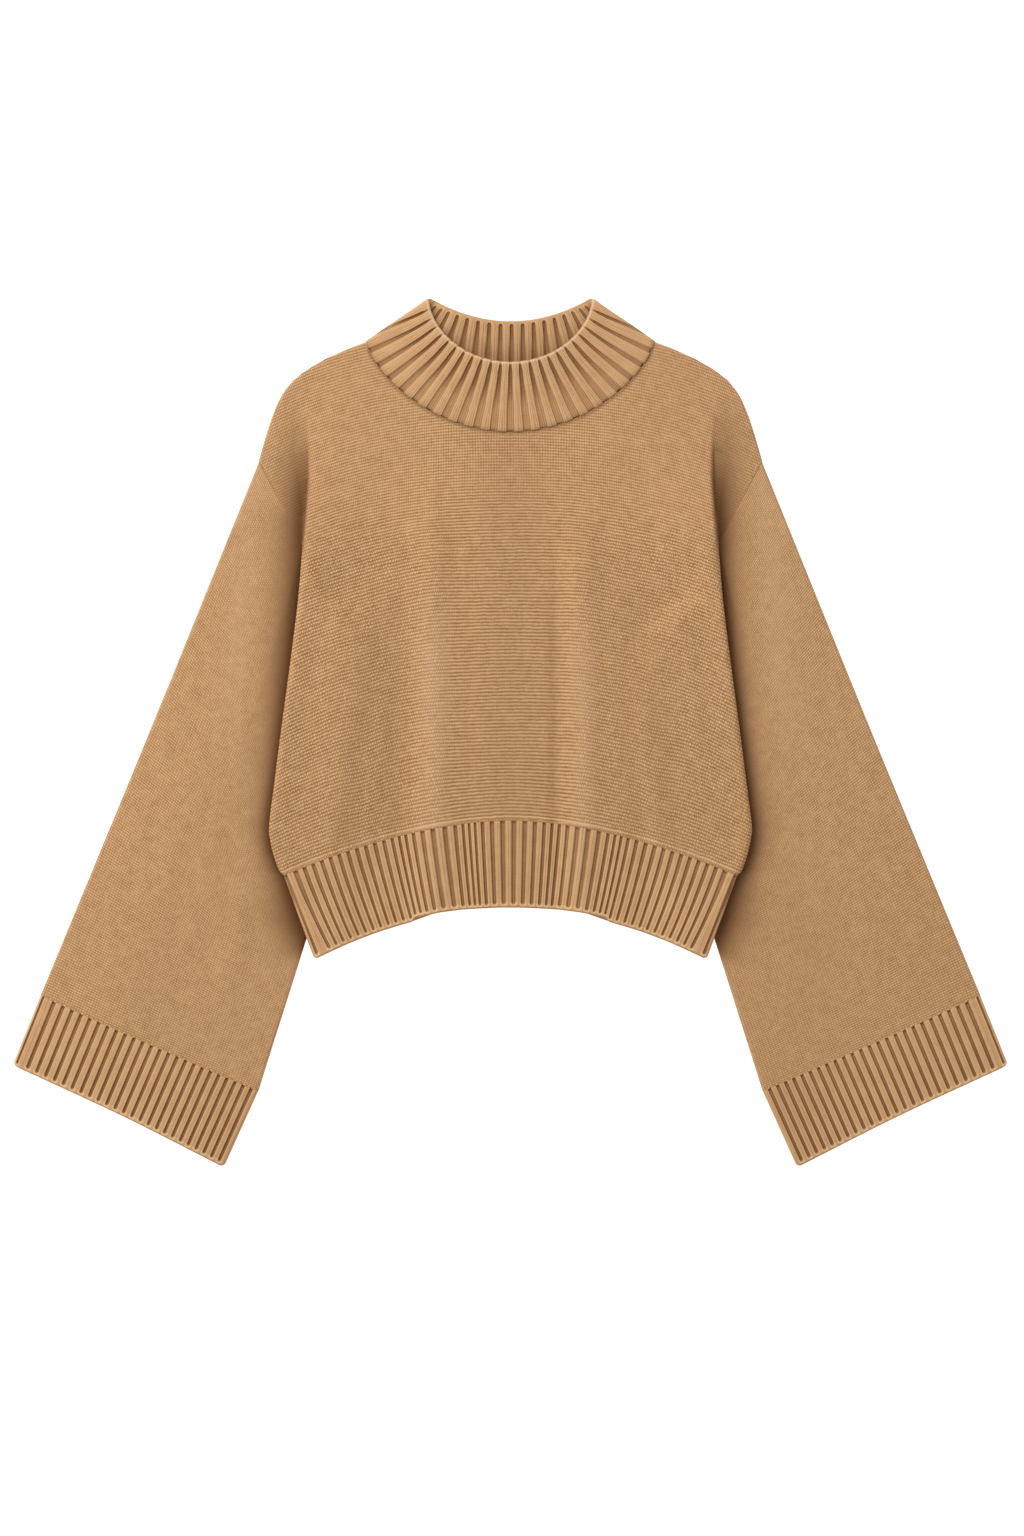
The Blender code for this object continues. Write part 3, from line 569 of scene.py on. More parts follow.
# %% Geometry Nodes: knit courses
courses_tree, given = new_geometry_tree("Knit courses", Course_relief=0.0003)
course = add(courses_tree, "GeometryNodeInputNamedAttribute", {"Name": "course"}, data_type="FLOAT")
face = add(courses_tree, "GeometryNodeInputNamedAttribute", {"Name": "face"}, data_type="FLOAT")
turn = add(courses_tree, "ShaderNodeMath", {0: course, 1: 2 * math.pi}, operation="MULTIPLY")
wave = add(courses_tree, "ShaderNodeMath", {0: turn}, operation="COSINE")
tall = add(courses_tree, "ShaderNodeMath", {0: wave, 1: given["Course relief"]}, operation="MULTIPLY")
seen = add(courses_tree, "ShaderNodeMath", {0: tall, 1: face}, operation="MULTIPLY")
normal = add(courses_tree, "GeometryNodeInputNormal")
move = add(courses_tree, "ShaderNodeVectorMath", {0: normal, "Scale": seen}, operation="SCALE")
raised = add(courses_tree, "GeometryNodeSetPosition", {"Geometry": given["Geometry"], "Offset": move})
end_tree(courses_tree, given, raised)
print("tree made:", courses_tree.name)

# %% [markdown]
# ## Raising the ribs
#
# Rib knit alternates bands of knit columns, which stand forward, with bands of
# purl columns, which sink back as grooves. Each groove is a long slot that
# ends, rounded, just before the bound edge. The points carry their distance
# from the middle of the nearest slot and how far past its straight part they
# lie, so one signed distance gives the slot, its soft lip and the fine columns
# of stitches on each rib. The tree also stores `groove`, which the yarn's
# finish reads as painted shade in the grooves, and a second attribute with
# painted light on each slot's lip and painted shade on its walls.

# %% Geometry Nodes: ribs
ribs_tree, given = new_geometry_tree(
    "Ribs", Depth=0.0019, Softness=0.0005, Lip=0.00018, Wale_pitch=0.0015, Wale_relief=0.00005, Dome=0.0005)
named = {}
for label in ("slot_across", "slot_past", "slot_half", "slot_depth", "slot_tone", "face"):
    named[label] = add(ribs_tree, "GeometryNodeInputNamedAttribute", {"Name": label}, data_type="FLOAT")
past = add(ribs_tree, "ShaderNodeMath", {0: named["slot_past"], 1: 0.0}, operation="MAXIMUM")
past_squared = add(ribs_tree, "ShaderNodeMath", {0: past, 1: past}, operation="MULTIPLY")
across_squared = add(
    ribs_tree, "ShaderNodeMath",
    {0: named["slot_across"], 1: named["slot_across"], 2: past_squared}, operation="MULTIPLY_ADD")
reach = add(ribs_tree, "ShaderNodeMath", {0: across_squared}, operation="SQRT")
away = add(ribs_tree, "ShaderNodeMath", {0: reach, 1: named["slot_half"]}, operation="SUBTRACT")
soft_in = add(ribs_tree, "ShaderNodeMath", {0: given["Softness"], 1: -1.0}, operation="MULTIPLY")
groove = add(
    ribs_tree, "ShaderNodeMapRange",
    {"Value": away, "From Min": soft_in, "From Max": given["Softness"], "To Min": 1.0, "To Max": 0.0},
    interpolation_type="SMOOTHSTEP")
dome_width = add(ribs_tree, "ShaderNodeMath", {0: given["Softness"], 1: 6.0}, operation="MULTIPLY")
dome = add(
    ribs_tree, "ShaderNodeMapRange",
    {"Value": away, "From Min": 0.0, "From Max": dome_width, "To Min": 1.0, "To Max": 0.0},
    interpolation_type="SMOOTHSTEP")
lip_place = add(ribs_tree, "ShaderNodeMath", {0: away, 1: given["Softness"]}, operation="DIVIDE")
lip_offset = add(ribs_tree, "ShaderNodeMath", {0: lip_place, 1: 1.2}, operation="SUBTRACT")
lip_squared = add(ribs_tree, "ShaderNodeMath", {0: lip_offset, 1: lip_offset}, operation="MULTIPLY")
lip_fall = add(ribs_tree, "ShaderNodeMath", {0: lip_squared, 1: -1.0}, operation="MULTIPLY")
lip_bell = add(ribs_tree, "ShaderNodeMath", {0: lip_fall}, operation="EXPONENT")
wale = add(ribs_tree, "ShaderNodeMath", {0: named["slot_across"], 1: given["Wale pitch"]}, operation="DIVIDE")
wale_turn = add(ribs_tree, "ShaderNodeMath", {0: wale, 1: 2 * math.pi}, operation="MULTIPLY")
wale_wave = add(ribs_tree, "ShaderNodeMath", {0: wale_turn}, operation="COSINE")
on_rib = add(ribs_tree, "ShaderNodeMath", {0: 1.0, 1: groove}, operation="SUBTRACT")
wale_part = add(ribs_tree, "ShaderNodeMath", {0: wale_wave, 1: given["Wale relief"]}, operation="MULTIPLY")
wale_on_rib = add(ribs_tree, "ShaderNodeMath", {0: wale_part, 1: on_rib}, operation="MULTIPLY")
with_lip = add(
    ribs_tree, "ShaderNodeMath", {0: lip_bell, 1: given["Lip"], 2: wale_on_rib}, operation="MULTIPLY_ADD")
dome_drop = add(ribs_tree, "ShaderNodeMath", {0: dome, 1: given["Dome"]}, operation="MULTIPLY")
domed = add(ribs_tree, "ShaderNodeMath", {0: with_lip, 1: dome_drop}, operation="SUBTRACT")
steep = add(ribs_tree, "ShaderNodeMath", {0: named["slot_depth"], 1: given["Depth"]}, operation="MULTIPLY")
groove_drop = add(ribs_tree, "ShaderNodeMath", {0: groove, 1: steep}, operation="MULTIPLY")
shaped = add(ribs_tree, "ShaderNodeMath", {0: domed, 1: groove_drop}, operation="SUBTRACT")
seen = add(ribs_tree, "ShaderNodeMath", {0: shaped, 1: named["face"]}, operation="MULTIPLY")
normal = add(ribs_tree, "GeometryNodeInputNormal")
move = add(ribs_tree, "ShaderNodeVectorMath", {0: normal, "Scale": seen}, operation="SCALE")
# the groove's painted shade, as deep as the slot's tone
toned = add(ribs_tree, "ShaderNodeMath", {0: groove, 1: named["slot_tone"]}, operation="MULTIPLY")
shown_groove = add(ribs_tree, "ShaderNodeMath", {0: toned, 1: named["face"]}, operation="MULTIPLY")
noted = add(
    ribs_tree, "GeometryNodeStoreNamedAttribute",
    {"Geometry": given["Geometry"], "Name": "groove", "Value": shown_groove},
    data_type="FLOAT", domain="POINT")
# painted light on the lip round each slot's end and painted shade on the groove's walls, stored for the
# finish
at_end = add(
    ribs_tree, "ShaderNodeMapRange",
    {"Value": named["slot_past"], "From Min": soft_in, "From Max": given["Softness"],
     "To Min": 0.18, "To Max": 1.0})
lip_light = add(ribs_tree, "ShaderNodeMath", {0: lip_bell, 1: at_end}, operation="MULTIPLY")
wall_low = add(ribs_tree, "ShaderNodeMath", {0: groove, 1: on_rib}, operation="MULTIPLY")
wall_dark = add(ribs_tree, "ShaderNodeMath", {0: wall_low, 1: 1.7}, operation="MULTIPLY")
edge_tone = add(ribs_tree, "ShaderNodeMath", {0: lip_light, 1: wall_dark}, operation="SUBTRACT")
shown_edge = add(ribs_tree, "ShaderNodeMath", {0: edge_tone, 1: named["face"]}, operation="MULTIPLY")
noted_too = add(
    ribs_tree, "GeometryNodeStoreNamedAttribute",
    {"Geometry": noted, "Name": "rib_edge_light_and_shade", "Value": shown_edge}, data_type="FLOAT", domain="POINT")
raised = add(ribs_tree, "GeometryNodeSetPosition", {"Geometry": noted_too, "Offset": move})
end_tree(ribs_tree, given, raised)
print("tree made:", ribs_tree.name)

# %% [markdown]
# ## Sowing stitches
#
# The pieces are linked stitch by stitch, which leaves a fine chain along each
# seam. The tree walks a line at the stitch pitch and sets one small grain of
# yarn on each point, tilted left and right in turn.

# %% Geometry Nodes: a chain of stitches along a line
chain_tree, given = new_geometry_tree(
    "Stitch chain", Pitch=0.0024, Stitch_length=0.0026, Stitch_width=0.0011, Turn=0.0, Tilt=0.5)
line = add(chain_tree, "GeometryNodeMeshToCurve", {"Mesh": given["Geometry"]})
spaced = add(
    chain_tree, "GeometryNodeResampleCurve", {"Curve": line, "Length": given["Pitch"]}, mode="LENGTH")
tangent = add(chain_tree, "GeometryNodeInputTangent")
number = add(chain_tree, "GeometryNodeInputIndex")
parity = add(chain_tree, "ShaderNodeMath", {0: number, 1: 2.0}, operation="MODULO")
centred = add(chain_tree, "ShaderNodeMath", {0: parity, 1: 0.5}, operation="SUBTRACT")
tilt = add(
    chain_tree, "ShaderNodeMath", {0: centred, 1: given["Tilt"], 2: given["Turn"]}, operation="MULTIPLY_ADD")
turned = add(
    chain_tree, "ShaderNodeVectorRotate", {"Vector": tangent, "Axis": (0.0, 0.0, 1.0), "Angle": tilt},
    rotation_type="AXIS_ANGLE")
facing = add(chain_tree, "FunctionNodeAlignRotationToVector", {"Vector": turned}, axis="X")
grain = add(chain_tree, "GeometryNodeMeshUVSphere", {"Segments": 8, "Rings": 6, "Radius": 0.5})
size = add(
    chain_tree, "ShaderNodeCombineXYZ",
    {"X": given["Stitch length"], "Y": given["Stitch width"], "Z": given["Stitch width"]})
sown = add(
    chain_tree, "GeometryNodeInstanceOnPoints",
    {"Points": spaced, "Instance": grain.outputs["Mesh"], "Rotation": facing, "Scale": size})
end_tree(chain_tree, given, sown)
print("tree made:", chain_tree.name)

# %% [markdown]
# ## Yarn
#
# The yarn is a soft, matt wool blend in camel. The dye takes a little
# differently along the yarn, which is its own random tone. Each finish also
# mixes a light, a middle and a deep tone by where on the stitch a point lies:
# painted light on the tops of the stitches and painted shade in the hollows
# between them. Wool has a faint sheen at grazing angles, from its fine fibres,
# and next to no gloss.


# %% Colour helper
def colour(code):
    """Linear colour, with alpha, from an sRGB hex value."""
    channels = [int(code[start:start + 2], 16) / 255 for start in (1, 3, 5)]
    return (*[part / 12.92 if part <= 0.04045 else ((part + 0.055) / 1.055) ** 2.4 for part in channels], 1.0)


# painted light and shade among these colours: the light and the deep yarn are painted light on stitch tops
# and painted shade between stitches, besides random tone; the palest colour is painted light on ridges; the
# groove colour is painted shade in the ribs' grooves; the shade colour is painted shade
YARN_PAINTED_LIGHT = "#f1d1b3"
YARN_LIGHT = "#dcb386"
YARN_MIDDLE = "#c19466"
YARN_DEEP = "#8a5c31"
GROOVE_PAINTED_SHADE = "#6d4522"
SHADE_DEEP = "#56310f"
YARN_SHEEN = "#efd3b0"


# %% [markdown]
# ### Plain knit
#
# The courses are real relief. The single stitches on them are finer, so they
# are bump and tone, with painted light on their tops and painted shade between
# them: each course is a row of small beads, and every second course is shifted
# by half a stitch, which gives the brick look at the sides.
# In the middle of the front the cloth is pulled sideways, and the beads run
# together into smooth lines.

# %% Finish: plain knit
def raised_wave(tree, turns):
    """0 to 1 and back, once for each whole turn."""
    angle = add(tree, "ShaderNodeMath", {0: turns, 1: 2 * math.pi}, operation="MULTIPLY")
    wave = add(tree, "ShaderNodeMath", {0: angle}, operation="COSINE")
    return add(tree, "ShaderNodeMath", {0: wave, 1: 0.5, 2: 0.5}, operation="MULTIPLY_ADD")


def yarn_colour(tree, tone, groove=None):
    """Mix deep, middle and light yarn by tone, then add painted shade where the attribute hollow is above 0
    and painted light where it is below 0.
    """
    ramp = add(tree, "ShaderNodeValToRGB", {"Fac": tone})
    # the deep end of the ramp is painted shade between the stitches, the light end painted light on their
    # tops
    ramp.color_ramp.elements[0].position = 0.08
    ramp.color_ramp.elements[0].color = colour(YARN_DEEP)
    ramp.color_ramp.elements[1].position = 0.98
    ramp.color_ramp.elements[1].color = colour(YARN_LIGHT)
    ramp.color_ramp.elements.new(0.52).color = colour(YARN_MIDDLE)
    mixed = ramp.outputs["Color"]
    hollow = add(tree, "ShaderNodeAttribute", attribute_name="hollow").outputs["Fac"]
    # below 0 the attribute lays painted light, above 0 painted shade
    painted_light_share = add(tree, "ShaderNodeMath", {0: hollow, 1: -1.0}, operation="MULTIPLY")
    layers = [(painted_light_share, YARN_PAINTED_LIGHT), (hollow, SHADE_DEEP)]
    if groove is not None:
        layers.insert(1, (groove, GROOVE_PAINTED_SHADE))
    for share, code in layers:
        clamped = add(tree, "ShaderNodeMath", {0: share, 1: 1.0}, operation="MULTIPLY", use_clamp=True)
        blend = add(tree, "ShaderNodeMix", {0: clamped, 6: mixed, 7: colour(code)}, data_type="RGBA")
        mixed = blend.outputs[2]
    return mixed


def wool(shader, base, normal):
    """What every wool finish shares: no gloss, and a faint sheen."""
    tree = shader.id_data
    tree.links.new(base, shader.inputs["Base Color"])
    tree.links.new(normal.outputs["Normal"], shader.inputs["Normal"])
    shader.inputs["Roughness"].default_value = 0.88
    shader.inputs["Specular IOR Level"].default_value = 0.22
    shader.inputs["Sheen Weight"].default_value = 0.12
    shader.inputs["Sheen Roughness"].default_value = 0.45
    shader.inputs["Sheen Tint"].default_value = colour(YARN_SHEEN)


plain = bpy.data.materials.new("wool_plain_knit")
plain.use_nodes = True
tree = plain.node_tree
course, wale, bead, brick, hollow = (
    add(tree, "ShaderNodeAttribute", attribute_name=label).outputs["Fac"]
    for label in ("course", "wale", "bead", "brick", "hollow"))
place = add(tree, "ShaderNodeTexCoord").outputs["Object"]
# columns: size of the blots in millimetres, detail
wander, drift, jostle_across, jostle_up, mottle, fibre = (
    add(tree, "ShaderNodeTexNoise", {"Vector": place, "Scale": 1 / (size * MM), "Detail": detail})
    for size, detail in ((13.0, 3.0), (7.0, 2.0), (2.6, 2.0), (2.2, 2.0), (10.0, 3.0), (1.1, 2.0)))

# where on its stitch a point lies, with the unevenness of hand-knit rows
loose = add(tree, "ShaderNodeMath", {0: brick, 1: 2.2, 2: 0.8}, operation="MULTIPLY_ADD")
sway = add(tree, "ShaderNodeMath", {0: wander, 1: loose, 2: wale}, operation="MULTIPLY_ADD")
rise = add(tree, "ShaderNodeMath", {0: drift, 1: 0.5, 2: course}, operation="MULTIPLY_ADD")
rise = add(tree, "ShaderNodeMath", {0: rise, 1: 0.25}, operation="SUBTRACT")
jumble = add(tree, "ShaderNodeMath", {0: brick, 1: 0.60}, operation="MULTIPLY")
push = add(tree, "ShaderNodeMath", {0: jostle_across, 1: 0.5}, operation="SUBTRACT")
sway = add(tree, "ShaderNodeMath", {0: push, 1: jumble, 2: sway}, operation="MULTIPLY_ADD")
push = add(tree, "ShaderNodeMath", {0: jostle_up, 1: 0.5}, operation="SUBTRACT")
rise = add(tree, "ShaderNodeMath", {0: push, 1: jumble, 2: rise}, operation="MULTIPLY_ADD")
row = add(tree, "ShaderNodeMath", {0: rise}, operation="ROUND")
shifted = add(tree, "ShaderNodeMath", {0: row, 1: 0.5, 2: sway}, operation="MULTIPLY_ADD")

# beads along the courses
ridge = raised_wave(tree, rise)
between = add(tree, "ShaderNodeMath", {0: 1.0, 1: raised_wave(tree, sway)}, operation="SUBTRACT")
gap = add(tree, "ShaderNodeMath", {0: between, 1: 1.5}, operation="POWER")
opened = add(tree, "ShaderNodeMath", {0: gap, 1: bead}, operation="MULTIPLY")
keep = add(tree, "ShaderNodeMath", {0: 1.0, 1: opened}, operation="SUBTRACT")
stitch = add(tree, "ShaderNodeMath", {0: ridge, 1: keep}, operation="MULTIPLY")
in_rows = add(tree, "ShaderNodeMath", {0: stitch, 1: 0.80, 2: 0.08}, operation="MULTIPLY_ADD")

# the brick look, where each course is shifted against the next
sway_angle = add(tree, "ShaderNodeMath", {0: sway, 1: 2 * math.pi}, operation="MULTIPLY")
across = add(tree, "ShaderNodeMath", {0: sway_angle}, operation="COSINE")
rise_angle = add(tree, "ShaderNodeMath", {0: rise, 1: math.pi}, operation="MULTIPLY")
up = add(tree, "ShaderNodeMath", {0: rise_angle}, operation="COSINE")
crossed = add(tree, "ShaderNodeMath", {0: across, 1: up}, operation="MULTIPLY")
along_row = add(tree, "ShaderNodeMath", {0: ridge, 1: 0.64}, operation="MULTIPLY")
linked = add(tree, "ShaderNodeMath", {0: crossed, 1: 0.36, 2: along_row}, operation="MULTIPLY_ADD")
beaded = add(tree, "ShaderNodeMix", {0: brick, 2: in_rows, 3: linked}, data_type="FLOAT")
column = add(tree, "ShaderNodeMath", {0: shifted}, operation="ROUND")
cell = add(tree, "ShaderNodeCombineXYZ", {"X": row, "Y": column})
odd = add(tree, "ShaderNodeTexWhiteNoise", {"Vector": cell}).outputs["Value"]

# where light or shade is painted, the stitches show less
negative = add(tree, "ShaderNodeMath", {0: hollow, 1: -1.0}, operation="MULTIPLY")
painted_light_share = add(tree, "ShaderNodeMath", {0: negative, 1: 0.0}, operation="MAXIMUM")
calm = add(tree, "ShaderNodeMath", {0: painted_light_share, 1: -2.1, 2: 1.0}, operation="MULTIPLY_ADD")
calm = add(tree, "ShaderNodeMath", {0: calm, 1: 0.22}, operation="MAXIMUM")
painted_shade_share = add(tree, "ShaderNodeMath", {0: hollow, 1: 0.0}, operation="MAXIMUM")
calm_in_shade = add(tree, "ShaderNodeMath", {0: painted_shade_share, 1: -0.8, 2: 1.0}, operation="MULTIPLY_ADD")
calm = add(tree, "ShaderNodeMath", {0: calm, 1: calm_in_shade}, operation="MULTIPLY")

# tone and height of the stitches: the tone is painted light on the stitch tops and painted shade between
# them, with random tone from the mottle and the fibres
tone = add(tree, "ShaderNodeMath", {0: beaded, 1: 0.88, 2: 0.06}, operation="MULTIPLY_ADD")
for part, weight in ((bead, 0.16), (mottle, 0.28), (odd, 0.12), (fibre, 0.24)):
    tone = add(tree, "ShaderNodeMath", {0: part, 1: weight, 2: tone}, operation="MULTIPLY_ADD")
tone = add(tree, "ShaderNodeMath", {0: tone, 1: 0.89}, operation="SUBTRACT")
tone = add(tree, "ShaderNodeMath", {0: tone, 1: calm, 2: 0.60}, operation="MULTIPLY_ADD")
height = add(tree, "ShaderNodeMath", {0: fibre, 1: 0.25, 2: beaded}, operation="MULTIPLY_ADD")
height = add(tree, "ShaderNodeMath", {0: odd, 1: 0.15, 2: height}, operation="MULTIPLY_ADD")
height = add(tree, "ShaderNodeMath", {0: height, 1: calm}, operation="MULTIPLY")
bump = add(tree, "ShaderNodeBump", {"Height": height, "Distance": 0.6 * MM, "Strength": 0.7})
wool(tree.nodes["Principled BSDF"], yarn_colour(tree, tone), bump)
print("finish made:", plain.name)

# %% [markdown]
# ### Rib knit
#
# On the ribs the knit columns run lengthwise as fine lines. In the grooves the
# purl side shows as a fine net, and painted shade darkens it. Both follow the
# attributes that place the slots, so they bend with the bands.

# %% Finish: rib knit
rib = bpy.data.materials.new("wool_rib_knit")
rib.use_nodes = True
tree = rib.node_tree
groove, across, past, course, edge = (
    add(tree, "ShaderNodeAttribute", attribute_name=label).outputs["Fac"]
    for label in ("groove", "slot_across", "slot_past", "course", "rib_edge_light_and_shade"))
place = add(tree, "ShaderNodeTexCoord").outputs["Object"]
mottle, fibre = (
    add(tree, "ShaderNodeTexNoise", {"Vector": place, "Scale": 1 / (size * MM), "Detail": detail})
    for size, detail in ((11.0, 3.0), (0.9, 2.0)))
before_edge = add(tree, "ShaderNodeMapRange", {
    "Value": past, "From Min": 0.0, "From Max": 1.5 * MM, "To Min": 1.0, "To Max": 0.25})
wales = add(tree, "ShaderNodeMath", {0: across, 1: RIB_WALE * MM}, operation="DIVIDE")
wale_line = add(tree, "ShaderNodeMath", {0: raised_wave(tree, wales), 1: before_edge}, operation="MULTIPLY")
level = add(tree, "ShaderNodeMath", {0: before_edge, 1: -0.5, 2: 0.5}, operation="MULTIPLY_ADD")
wale_line = add(tree, "ShaderNodeMath", {0: wale_line, 1: level}, operation="ADD")
purl_rows = raised_wave(tree, course)
net = add(tree, "ShaderNodeMath", {0: wale_line, 1: purl_rows}, operation="MULTIPLY")
relief = add(tree, "ShaderNodeMix", {0: groove, 2: wale_line, 3: net}, data_type="FLOAT")
contrast = add(tree, "ShaderNodeMath", {0: groove, 1: 0.26, 2: 0.24}, operation="MULTIPLY_ADD")
# tone of the ribs' fine columns and of the purl net: painted light on their tops and painted shade between
# them
centred = add(tree, "ShaderNodeMath", {0: relief, 1: 0.5}, operation="SUBTRACT")
tone = add(tree, "ShaderNodeMath", {0: centred, 1: contrast, 2: 0.30}, operation="MULTIPLY_ADD")
# painted light on the slots' lips and painted shade on their walls, then random tone from the mottle and the
# fibres
for part, weight in ((edge, 0.80), (mottle, 0.30), (fibre, 0.22), (purl_rows, 0.06)):
    tone = add(tree, "ShaderNodeMath", {0: part, 1: weight, 2: tone}, operation="MULTIPLY_ADD")
doubled = add(tree, "ShaderNodeMath", {0: contrast, 1: 2.0}, operation="MULTIPLY")
height = add(tree, "ShaderNodeMath", {0: relief, 1: doubled}, operation="MULTIPLY")
height = add(tree, "ShaderNodeMath", {0: fibre, 1: 0.25, 2: height}, operation="MULTIPLY_ADD")
bump = add(tree, "ShaderNodeBump", {"Height": height, "Distance": 0.35 * MM, "Strength": 0.7})
# painted shade in the grooves
deep = add(tree, "ShaderNodeMath", {0: groove, 1: 0.63}, operation="MULTIPLY")
wool(tree.nodes["Principled BSDF"], yarn_colour(tree, tone, deep), bump)
print("finish made:", rib.name)

# %% [markdown]
# ### Linking thread
#
# The seams are linked with the same yarn. It lies in the crease of a seam,
# where little light falls, so it gets a deep tone and painted shade, and reads
# as a darker line.

# %% Finish: linking thread
thread = bpy.data.materials.new("wool_linking_thread")
thread.use_nodes = True
tree = thread.node_tree
place = add(tree, "ShaderNodeTexCoord").outputs["Object"]
ply = add(tree, "ShaderNodeTexNoise", {"Vector": place, "Scale": 1 / (0.8 * MM), "Detail": 2.0})
bump = add(tree, "ShaderNodeBump", {"Height": ply, "Distance": 0.2 * MM, "Strength": 0.6})
tone = add(tree, "ShaderNodeMath", {0: ply, 1: 0.7, 2: 0.05}, operation="MULTIPLY_ADD")
wool(tree.nodes["Principled BSDF"], yarn_colour(tree, tone), bump)
print("finish made:", thread.name)

# %% [markdown]
# ## Front and back
#
# Courses run from side to side and arch with the hem. A function gives the
# height of any course at any place across the body, and it is solved the other
# way round to find the course of any point. Each row of the mesh then follows
# one course, from the folded side to the other side, or to the neckline.

# %% Where each course runs
ARCH_POWERS = (1.75, 2.3)                # at the hem seam and above the waist
ARCH_DROPS = (49.6, 38.0)                # at the hem seam and at the top
COURSE_TOP = 380.0
course_steps = np.linspace(HEM_Y - 20.0, COURSE_TOP + 40.0, 3001)
pitches = COURSE - (COURSE - TIGHT_COURSE) * smoothstep(120.0, 250.0, course_steps)
course_numbers = np.concatenate([[0.0], np.cumsum(np.diff(course_steps) / pitches[1:])])
course_numbers -= np.interp(HEM_Y, course_steps, course_numbers)


def course_wave_at(x, v):
    """Hand-knit courses are never ruler-straight: a few slow waves."""
    inner = smoothstep(HEM_Y, HEM_Y + 50.0, v) * (1.0 - smoothstep(170.0, 245.0, v))
    wave = (0.4 + 0.5 * smoothstep(30.0, 90.0, abs(x))) * np.sin(x / 21.0 + v / 60.0) * np.sin(v / 43.0 + 0.8)
    over_folds = 1.6 * np.exp(-((x + 71.0) / 24.0) ** 2) + 1.6 * np.exp(-((x - 64.0) / 22.0) ** 2)
    dips = -2.4 * np.exp(-((abs(x) - 132.0) / 16.0) ** 2) * smoothstep(150.0, 20.0, v)
    return inner * (wave + over_folds * smoothstep(240.0, 120.0, v) + dips)


def course_height(x, v):
    """Height on the table of course coordinate v at a place across."""
    share = np.clip((v - HEM_Y) / (COURSE_TOP - HEM_Y), 0.0, 1.0)
    drop = ARCH_DROPS[0] + (ARCH_DROPS[1] - ARCH_DROPS[0]) * share
    power = ARCH_POWERS[0] + (ARCH_POWERS[1] - ARCH_POWERS[0]) * smoothstep(HEM_Y, 20.0, v)
    return v - drop * (abs(x) / HEM_HALF) ** power + course_wave_at(x, v)


def course_at(x, y):
    """Course coordinate of a point: the inverse of course_height."""
    v = np.array(y, dtype=float)
    for _ in range(30):
        v = v + (y - course_height(x, v))
    return v


def course_number(v):
    """How many courses a course coordinate lies above the hem seam."""
    return np.interp(v, course_steps, course_numbers)


def wale_number(x, y):
    """Columns of stitches run straight up, and lean in towards the neck at the shoulders."""
    lean = 0.38 * np.maximum(y - 175.0, 0.0) * smoothstep(70.0, 200.0, abs(x))
    closer = 0.10 * np.maximum(abs(x) - 60.0, 0.0)
    return (abs(x) + lean + closer) / WALE


# %% Grids of the front and the back
SIDE = joined((0.62, through(BODY_EDGE)), (0.20, through(ARMHOLE)), (0.11, through(SHOULDER_SIDE)),
              (0.07, through(SHOULDER_TOP)))
NEAR_STEPS = np.array([0.0, 0.25, 0.8, 1.6, 2.6, 3.8])
ROLL_STEPS = np.array([0.0, 0.25, 0.8, 1.6, 2.6, 3.8, 5.4, 7.5])
FOLD_END_Y = 167.0                       # the folded side ends at the armhole
HALF_COLUMNS = 66                        # columns of points from a side to the middle
SEAM_GAP = 0.15                          # half the air between two pieces at a seam
SIDE_COLUMNS = 16                        # columns that lie close together beside a side


def body_half(neck_drop, rows):
    """Places of the left half's columns on each course, from the side to the middle or the neckline."""
    side = SIDE(np.linspace(0, 1, 1601))
    side_course = np.maximum.accumulate(course_at(*side.T) + np.arange(1601) * 1e-7)
    neck = bowl(NECK_HALF - OVERLAP, NECK_Y, neck_drop - OVERLAP, NECK_POWER)(np.linspace(0.5, 0, 801))
    neck_course = np.maximum.accumulate(course_at(*neck.T) + np.arange(801) * 1e-7)
    left, left_y = (np.interp(rows, side_course, side[:, part]) for part in (0, 1))
    end = np.where(rows > neck_course[0], np.interp(rows, neck_course, neck[:, 0]), 0.0)
    width = end - left
    crease = np.interp(left_y + 6.0, CREASE_Y, CREASE_X) - left
    crease = np.clip(crease, 0.5, 0.45 * width)
    scale = np.minimum(1.0, crease / 9.0)[:, None]
    near = NEAR_STEPS * scale
    between = near[:, -1:] + (crease[:, None] - near[:, -1:]) * np.array([1 / 3, 2 / 3])
    over = crease[:, None] + ROLL_STEPS * np.clip(width / 60.0, 0.01, 1.0)[:, None]
    creased_steps = np.concatenate([near, between, over], axis=1)
    folded_steps = np.concatenate([ROLL_STEPS, 9.0 + 1.6 * np.arange(8)])
    creased = smoothstep(FOLD_END_Y - 7.0, FOLD_END_Y, left_y)[:, None]
    first = (1 - creased) * folded_steps + creased * creased_steps
    share = (np.arange(HALF_COLUMNS - SIDE_COLUMNS) + 1.0) / (HALF_COLUMNS - SIDE_COLUMNS)
    rest = first[:, -1:] + (width[:, None] - first[:, -1:]) * share
    return left[:, None] + np.concatenate([first, rest], axis=1)


